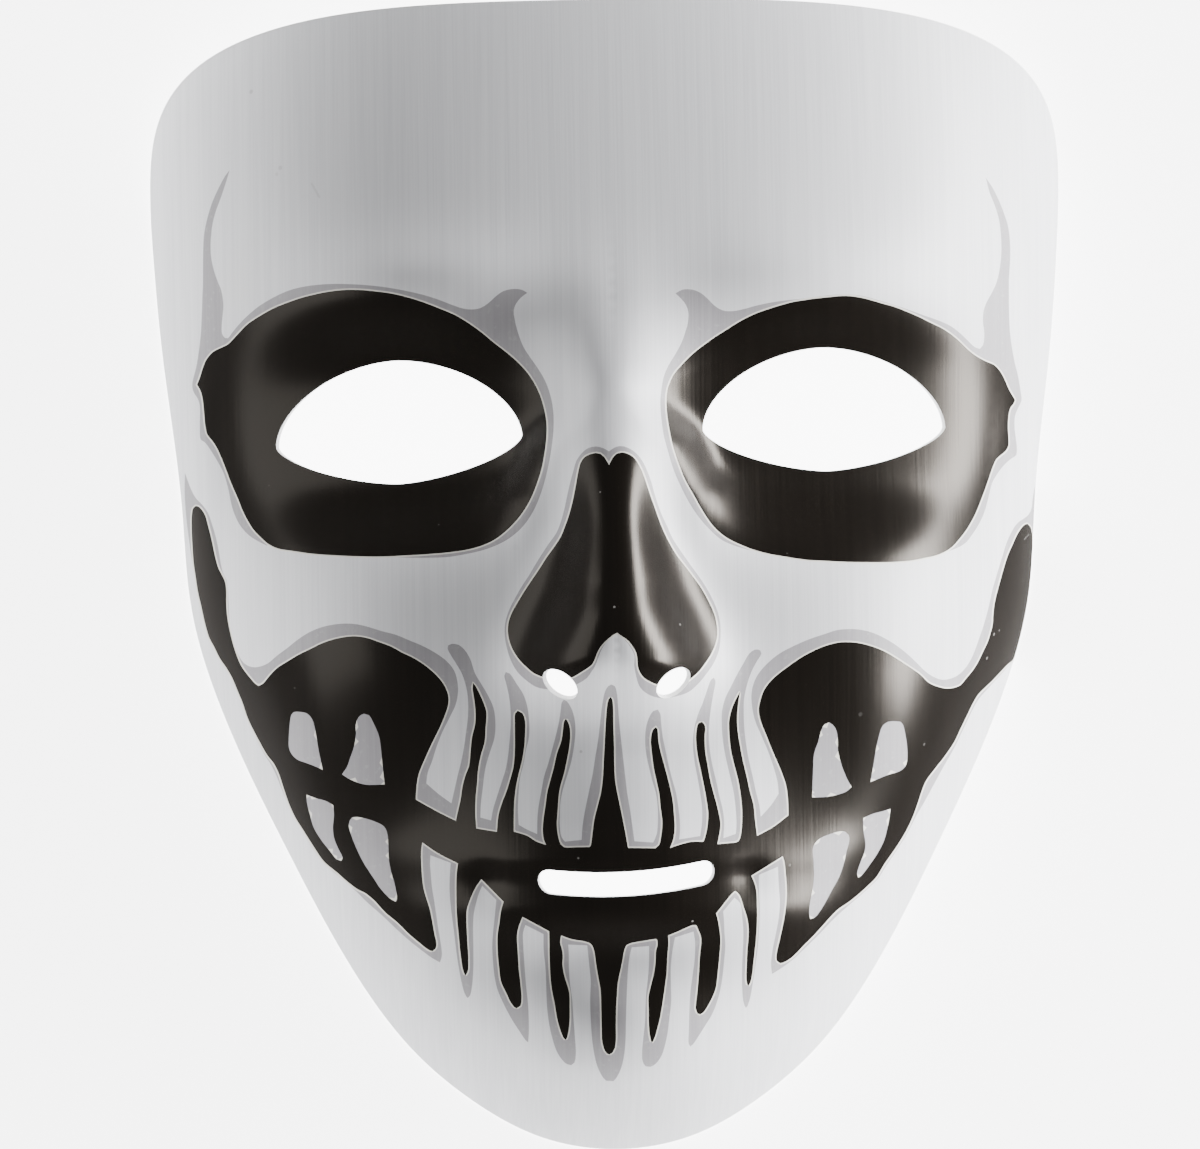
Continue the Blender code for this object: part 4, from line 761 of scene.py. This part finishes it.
def distance_to(points, lines):
    """Distance from each point to the nearest point of some lines."""
    marks = np.concatenate([even_loop(line, MARK_SPACING) for line in lines])
    tree = KDTree(len(marks))
    for place, mark in enumerate(marks):
        tree.insert((mark[0], mark[1], 0), place)
    tree.balance()
    return np.array([tree.find((x, y, 0))[2] for x, y in points])


def bare_edge(line):
    """The line a hair's breadth outside a printed line that runs either way round."""
    line = even_loop(line, PRINT_SPACING)
    along = np.roll(line, -1, axis=0) - np.roll(line, 1, axis=0)
    out = np.column_stack((along[:, 1], -along[:, 0]))
    out /= np.linalg.norm(out, axis=1)[:, None]
    following = np.roll(line, -1, axis=0)
    turning = np.sum(line[:, 0] * following[:, 1] - following[:, 0] * line[:, 1])
    return line + out * BARE_LINE * np.sign(turning)


def skin_grid(lines):
    """Evenly spread points over the skin, finer on the nose, clear of the lines and the rim."""
    points = []
    for spacing, on_nose in ((SKIN_SPACING, False), (NOSE_SPACING, True)):
        for number, y in enumerate(np.arange(-HALF_HEIGHT, HALF_HEIGHT, spacing * np.sqrt(3) / 2)):
            x = np.arange(-HALF_WIDTH + number % 2 * spacing / 2, HALF_WIDTH, spacing)
            by_nose = NOSE_PATCH_FOOT < y / HALF_HEIGHT < NOSE_PATCH_TOP
            x = x[((np.abs(x) < NOSE_PATCH_HALF) & by_nose) == on_nose]
            points.append(np.column_stack((x, np.full_like(x, y))))
    points = np.concatenate(points)
    points = points[inside(points, middle + (rim - middle) * (WALL_SHARES[-1] - GRID_INSET))]
    return points[distance_to(points, lines) > LINE_CLEARANCE]


def skin_in_plan():
    """Points and triangles of the sheet in plan, cut along every printed and cut line."""
    bare = [bare_edge(line) for line in black_lines]
    lines = [rim] + openings + grey_lines + black_lines + back_teeth_lines + bare
    rings = [middle + (rim - middle) * share for share in WALL_SHARES]
    corners = np.concatenate(lines + rings + [skin_grid(lines)])
    edges = []
    first = 0
    for line in lines:
        size = len(line)
        edges += [(first + place, first + (place + 1) % size) for place in range(size)]
        first += size
    corners = [Vector(corner) for corner in corners]
    found = delaunay_2d_cdt(corners, edges, [], 1, MERGE_DISTANCE, False)
    points = np.array([tuple(corner) for corner in found[0]])
    triangles = np.array(found[2])
    centres = points[triangles].mean(axis=1)
    keep = inside(centres, rim) & ~inside_any(centres, openings)
    used, triangles = np.unique(triangles[keep], return_inverse=True)
    return points[used], triangles.reshape(-1, 3)


def printed_on(centres):
    """What lies under each triangle's centre: the bare sheet, grey, black or the bare line."""
    back_teeth = inside_any(centres, back_teeth_lines)
    margin = distance_to(centres, black_lines + back_teeth_lines) < BARE_LINE
    colour = np.where(inside_any(centres, grey_lines) | back_teeth, GREY, SHEET)
    colour = np.where(margin, BARE, colour)
    return np.where(inside_any(centres, black_lines) & ~back_teeth, BLACK, colour)


def skin_normals(points):
    """Outward directions of the outer skin, read just inside each point."""
    x, y = (middle + (points - middle) * NORMAL_INSET).T
    lean_x = (height(x + NORMAL_STEP, y) - height(x - NORMAL_STEP, y)) / (2 * NORMAL_STEP)
    lean_y = (height(x, y + NORMAL_STEP) - height(x, y - NORMAL_STEP)) / (2 * NORMAL_STEP)
    normal = np.column_stack((-lean_x, -lean_y, np.ones_like(x)))
    return normal / np.linalg.norm(normal, axis=1)[:, None]


points, triangles = skin_in_plan()
colour = printed_on(points[triangles].mean(axis=1))
outward = skin_normals(points)
outer = np.column_stack((points, height(points[:, 0], points[:, 1])))
inner = outer - outward * SHEET_THICKNESS
inner[:, 2] = np.maximum(inner[:, 2], 0)
size = len(points)
faces = [tuple(triangle) for triangle in triangles.tolist()]
edges = {(face[place], face[(place + 1) % 3]) for face in faces for place in range(3)}
backs = [(a + size, c + size, b + size) for a, b, c in faces]
walls = [(b, a, a + size, b + size) for a, b in sorted(edges) if (b, a) not in edges]
first_wall = len(faces) + len(backs)
shell_mesh = bpy.data.meshes.new("skull_mask")
shell_mesh.from_pydata(np.concatenate((outer, inner)).tolist(), [], faces + backs + walls)
slots = np.concatenate((colour, np.full(len(backs), BACK), np.full(len(walls), CUT)))
shell_mesh.polygons.foreach_set("use_smooth", slots != CUT)

# The skins are shaded by the form's own directions, and each cut edge by its face's
loop_corners = np.empty(len(shell_mesh.loops), dtype=np.int32)
shell_mesh.loops.foreach_get("vertex_index", loop_corners)
corner_normals = np.concatenate((outward, -outward))[loop_corners]
wall_normals = [tuple(wall.normal) for wall in shell_mesh.polygons[first_wall:]]
corner_normals[3 * first_wall :] = np.repeat(wall_normals, 4, axis=0)
shell_mesh.normals_split_custom_set(corner_normals.tolist())
mask = bpy.data.objects.new("skull_mask", shell_mesh)
bpy.context.scene.collection.objects.link(mask)

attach(mask, "root")
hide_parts("mask_shell")


# White sheet
# The bare vinyl of the forehead, cheeks, teeth and chin: satin, faintly blue, with the roller's
# fine upright streaks, a few faint smudges and specks from handling and one short hair.

FINE_STREAKS = (2600.0, 26.0, 60.0)
BROAD_STREAKS = (600.0, 9.0, 20.0)
STREAK_EDGES = (0.25, 0.75)

# Marks: place on plan in millimetres, radius in metres and strength
WHITE_SPECKS = (
    (-69.3, 96.5, 0.0006, 0.30), (-63.6, 80.9, 0.0006, 0.22), (-64.3, 79.7, 0.0005, 0.16),
    (-6.9, -33.3, 0.0004, 0.35), (-14.1, -43.4, 0.0005, 0.30), (-18.9, 6.0, 0.0009, 0.05),
    (-13.8, 17.5, 0.0003, 0.6),
)
SMUDGES = ((-68, 62, 0.011, 0.45), (-74, 57, 0.008, 0.4))


class Wire:
    """A node's output, with its sums written as expressions."""

    def __init__(self, sheet, socket):
        self.sheet, self.socket = sheet, socket

    def math(self, operation, *values):
        """The result of a Math node on this and other values."""
        return self.sheet.node("Math", {"operation": operation}, [self, *values])

    def __add__(self, other):
        return self.math("ADD", other)

    def __mul__(self, other):
        return self.math("MULTIPLY", other)

    def __rsub__(self, other):
        return self.math("MULTIPLY_ADD", -1, other)

    __radd__ = __add__
    __rmul__ = __mul__

    def ramp(self, low, high):
        """0 below low and 1 above high, with soft ends."""
        settings = {"interpolation_type": "SMOOTHSTEP"}
        return self.sheet.node("MapRange", settings, {0: self, 1: low, 2: high, 3: 0, 4: 1})


class Finish:
    """One material, with the nodes that make it."""

    def __init__(self, name, colour, roughness):
        self.material = bpy.data.materials.new(name)
        self.material.use_nodes = True
        self.nodes = self.material.node_tree.nodes
        self.links = self.material.node_tree.links
        self.shader = self.nodes["Principled BSDF"]
        self.set("Base Color", colour)
        self.set("Roughness", roughness)
        self.place = self.node("TexCoord", {}, {}, "Object")

    def plug(self, socket, value):
        """Link a wire to a socket, or set its number or colour."""
        if isinstance(value, Wire):
            self.links.new(value.socket, socket)
        elif isinstance(value, tuple) and socket.type == "RGBA":
            socket.default_value = (*value, 1)
        else:
            socket.default_value = value

    def set(self, name, value):
        """Set or link a socket of the shader."""
        self.plug(self.shader.inputs[name], value)

    def node(self, kind, settings, values, output=0):
        """Add a node of a type, set it up, fill its sockets and return one output."""
        node = self.nodes.new("ShaderNode" + kind)
        for name, value in settings.items():
            setattr(node, name, value)
        pairs = values.items() if isinstance(values, dict) else enumerate(values)
        for key, value in pairs:
            self.plug(node.inputs[key], value)
        return Wire(self, node.outputs[output])

    def noise(self, stretch, detail=2.0, rough=0.5):
        """Noise over the object, with its own scale along each axis."""
        spread = self.node("VectorMath", {"operation": "MULTIPLY"}, [self.place, stretch])
        values = {"Vector": spread, "Scale": 1.0, "Detail": detail, "Roughness": rough}
        return self.node("TexNoise", {}, values, "Fac")

    def streaks(self):
        """The fine lines that the sheet keeps from its rolling, which run up the face."""
        return 0.6 * self.noise(FINE_STREAKS, 1.0) + 0.4 * self.noise(BROAD_STREAKS, 2.0)

    def marks(self, rows):
        """Round marks on the outer skin, each fading to 0 at its radius, added up."""
        total = 0
        for x, y, radius, strength in rows:
            x, y = x / 1000, y / 1000
            spot = (x, y, float(height(np.array([x]), np.array([y]))[0]))
            away = self.node("VectorMath", {"operation": "DISTANCE"}, [self.place, spot], "Value")
            total = total + strength * (1 - away.ramp(0.45 * radius, radius))
        return total

    def mix(self, share, low, high):
        """Blend two colours."""
        settings = {"data_type": "RGBA"}
        return self.node("Mix", settings, {"Factor": share, 6: low, 7: high}, 2)

    def bump(self, relief, depth):
        """Raise the surface by a pattern, its full height given in metres."""
        return self.node("Bump", {}, {"Strength": 1.0, "Distance": depth, "Height": relief}, "Normal")


def hairline(start, end, count, radius, strength):
    """The marks along a straight hair or scratch."""
    places = np.linspace(start, end, count).tolist()
    return [(x, y, radius, strength) for x, y in places]


white = Finish("white_vinyl", (0.80, 0.80, 0.815), 0.42)
lines = white.streaks()
cloudy = white.noise((38.0, 26.0, 26.0), 3.0, 0.6)
grain = white.noise((3000.0, 3000.0, 3000.0), 0.0)
dirt = white.marks(WHITE_SPECKS) + white.marks(
    hairline((-57.4, 77.4), (-56.0, 74.8), 9, 0.00035, 0.14)
)
smudge = white.marks(SMUDGES) * cloudy.ramp(0.35, 0.75)
tone = white.mix(lines.ramp(*STREAK_EDGES), (0.735, 0.740, 0.770), (0.835, 0.840, 0.865))
tone = white.mix(0.10 * cloudy.ramp(0.3, 0.8), tone, (0.74, 0.745, 0.74))
tone = white.mix(0.10 * grain, tone, (0.72, 0.72, 0.74))
tone = white.mix(0.35 * smudge, tone, (0.70, 0.68, 0.64))
tone = white.mix(dirt.math("MINIMUM", 1.0), tone, (0.12, 0.11, 0.10))
white.set("Base Color", tone)
white.set("Roughness", 0.36 + 0.10 * lines + 0.05 * cloudy)
white.set("Normal", white.bump(0.7 * lines + 0.3 * cloudy, 0.00003))


# Grey ink
# Flat grey screen ink, a touch violet, in one thin coat on the sheet. The sheet's streaks still
# show through it, and it holds faint lighter specks.

grey = Finish("grey_ink", (0.33, 0.32, 0.34), 0.48)
lines = grey.streaks()
specks = grey.noise((900.0, 900.0, 900.0), 2.0)
tone = grey.mix(lines.ramp(*STREAK_EDGES), (0.305, 0.293, 0.313), (0.355, 0.343, 0.360))
tone = grey.mix(specks.ramp(0.60, 0.75), tone, (0.38, 0.37, 0.385))
grey.set("Base Color", tone)
grey.set("Roughness", 0.44 + 0.08 * lines)
grey.set("Normal", grey.bump(lines, 0.00003))


# Black ink
# Warm black ink with a semi-gloss face, screened over the grey. It takes the sheet's streaks and
# holds a little white dust and one short scratch by the right cheek.

DUST_SPECKS = (
    (-2.7, 16.0, 0.00028, 0.5), (-0.4, -6.1, 0.00030, 0.9), (-7.7, -53.7, 0.0003, 0.7),
    (14.2, -66.2, 0.0003, 0.9), (75.1, -11.2, 0.0004, 0.8), (73.6, -15.9, 0.0004, 0.7),
    (81.9, -0.4, 0.0004, 0.35), (76.3, -10.4, 0.0003, 0.5), (12.2, -9.4, 0.0003, 0.5),
    (47.3, -26.8, 0.0006, 0.10), (33.3, -55.7, 0.0004, 0.3), (60.3, -32.7, 0.0004, 0.25),
)

black = Finish("black_ink", (0.0025, 0.0017, 0.0012), 0.26)
lines = black.streaks()
cells = {"voronoi_dimensions": "3D"}, {"Vector": black.place, "Scale": 210.0}
motes = 1 - black.node("TexVoronoi", *cells, "Distance").ramp(0.015, 0.035)
mote_pick = black.node("TexVoronoi", *cells, "Color")
chosen = black.node("SeparateColor", {}, [mote_pick], 0).ramp(0.93, 0.94)
dust = 0.5 * motes * chosen + black.marks(DUST_SPECKS)
dust = dust + black.marks(hairline((83.4, 8.9), (82.2, 7.8), 7, 0.00026, 0.5))
tone = black.mix(lines.ramp(*STREAK_EDGES), (0.0016, 0.0010, 0.0006), (0.0032, 0.0022, 0.0015))
tone = black.mix(0.30 * dust.math("MINIMUM", 1.0), tone, (0.75, 0.73, 0.70))
for socket, value in {
    "Base Color": tone,
    "Specular IOR Level": 0.34,
    "Specular Tint": (1.0, 0.91, 0.80),
    "Sheen Weight": 0.05,
    "Sheen Roughness": 0.4,
    "Sheen Tint": (1.0, 0.87, 0.75),
    "Roughness": 0.22 + 0.07 * lines,
    "Normal": black.bump(lines, 0.00002),
}.items():
    black.set(socket, value)


# Bare line round the black
# Where the black stops short of the grey, the bare vinyl shows in a thin line, left by the gap
# between the two screens. The ink on both sides gives it a cream look.

bare = Finish("bare_line", (0.78, 0.755, 0.69), 0.45)
lines = bare.streaks()
bare.set("Base Color", bare.mix(lines, (0.73, 0.705, 0.64), (0.81, 0.785, 0.72)))
bare.set("Normal", bare.bump(lines, 0.00003))


# Inner face and cut edges
# The inner face was never printed: matt white vinyl, a little dull and rubbed where it meets the
# skin. The cut edges show the sheet's own white, slightly rough from the die.

back = Finish("inner_face", (0.76, 0.76, 0.765), 0.55)
lines = back.streaks()
cloudy = back.noise((45.0, 45.0, 45.0), 4.0, 0.6)
rubbed = back.noise((160.0, 160.0, 160.0), 3.0)
tone = back.mix(lines.ramp(0.2, 0.8), (0.735, 0.735, 0.74), (0.79, 0.79, 0.795))
tone = back.mix(0.22 * cloudy.ramp(0.45, 0.75), tone, (0.66, 0.65, 0.62))
back.set("Base Color", tone)
back.set("Roughness", 0.50 + 0.16 * rubbed)
back.set("Normal", back.bump(0.6 * lines + 0.4 * rubbed, 0.00004))

cut = Finish("cut_edge", (0.80, 0.80, 0.80), 0.6)
nicks = cut.noise((1400.0, 1400.0, 300.0), 3.0)
cut.set("Base Color", cut.mix(nicks, (0.72, 0.72, 0.72), (0.84, 0.84, 0.84)))
cut.set("Normal", cut.bump(nicks, 0.00006))

for finish in (white, grey, black, bare, back, cut):
    shell_mesh.materials.append(finish.material)
shell_mesh.polygons.foreach_set("material_index", slots.astype(np.int32))


# Table
# A plain pale top, on which the mask rests by its rim. It gives off light so that it reads as
# white, and it is hidden from glossy reflections.

TABLE_REACH = 3.0
TABLE_LEVEL = -0.0005
TABLE_GLOW = 5.6

table_mesh = bpy.data.meshes.new("table_top")
table_corners = [(TABLE_REACH * x, TABLE_REACH * y, TABLE_LEVEL) for x, y in (
    (-1, -1), (1, -1), (1, 1), (-1, 1),
)]
table_mesh.from_pydata(table_corners, [], [(0, 1, 2, 3)])
table = bpy.data.objects.new("table_top", table_mesh)
bpy.context.scene.collection.objects.link(table)
paper = Finish("table_paper", (0.93, 0.93, 0.93), 0.8)
paper.set("Emission Color", (1.0, 1.0, 1.0))
paper.set("Emission Strength", TABLE_GLOW)
table_mesh.materials.append(paper.material)
table.visible_glossy = False


# Light and camera
# A long soft light low on the right, a weaker and broader one on the left, and a dim even sky.
# The camera looks almost straight down from 1.5 m.

SKY = 0.28
# Name, place, length, breadth and power
LIGHTS = (
    ("right_light", (1.1, 0.05, 0.22), 1.2, 0.35, 56.0),
    ("left_light", (-1.1, 0.05, 0.45), 1.2, 0.8, 6.0),
)
LIGHT_TARGET = Vector((0, 0, 0.03))
CAMERA_DISTANCE = 1.5
CAMERA_TARGET = Vector((-0.00194, 0.00227, 0.0))
CAMERA_YAW = 0.779
CAMERA_PITCH = -1.558
CAMERA_ROLL = 0.776
CAMERA_LENS = 225.0

for name, place, size, size_y, power in LIGHTS:
    light = bpy.data.lights.new(name, "AREA")
    light.shape = "RECTANGLE"
    light.size = size
    light.size_y = size_y
    light.energy = power
    lamp = bpy.data.objects.new(name, light)
    lamp.location = place
    lamp.rotation_euler = (LIGHT_TARGET - Vector(place)).to_track_quat("-Z", "Y").to_euler()
    bpy.context.scene.collection.objects.link(lamp)
sky = bpy.data.worlds.new("soft_sky")
sky.use_nodes = True
sky.node_tree.nodes["Background"].inputs["Color"].default_value = (1, 1, 1, 1)
sky.node_tree.nodes["Background"].inputs["Strength"].default_value = SKY
bpy.context.scene.world = sky

yaw, pitch, roll = np.radians((CAMERA_YAW, CAMERA_PITCH, CAMERA_ROLL))
away = Vector((-np.sin(yaw) * np.cos(pitch), np.sin(pitch), np.cos(yaw) * np.cos(pitch)))
level = (-away).cross(Vector((0, 1, 0))).normalized()
upright = level.cross(-away)
side = level * np.cos(roll) - upright * np.sin(roll)
top = level * np.sin(roll) + upright * np.cos(roll)
camera = bpy.data.objects.new("camera", bpy.data.cameras.new("camera"))
camera.data.sensor_width = 36.0
camera.data.lens = CAMERA_LENS
camera.data.clip_start = 0.1
turn = Matrix((side, top, away)).transposed().to_4x4()
camera.matrix_world = Matrix.Translation(CAMERA_TARGET + away * CAMERA_DISTANCE) @ turn
bpy.context.scene.collection.objects.link(camera)
bpy.context.scene.camera = camera
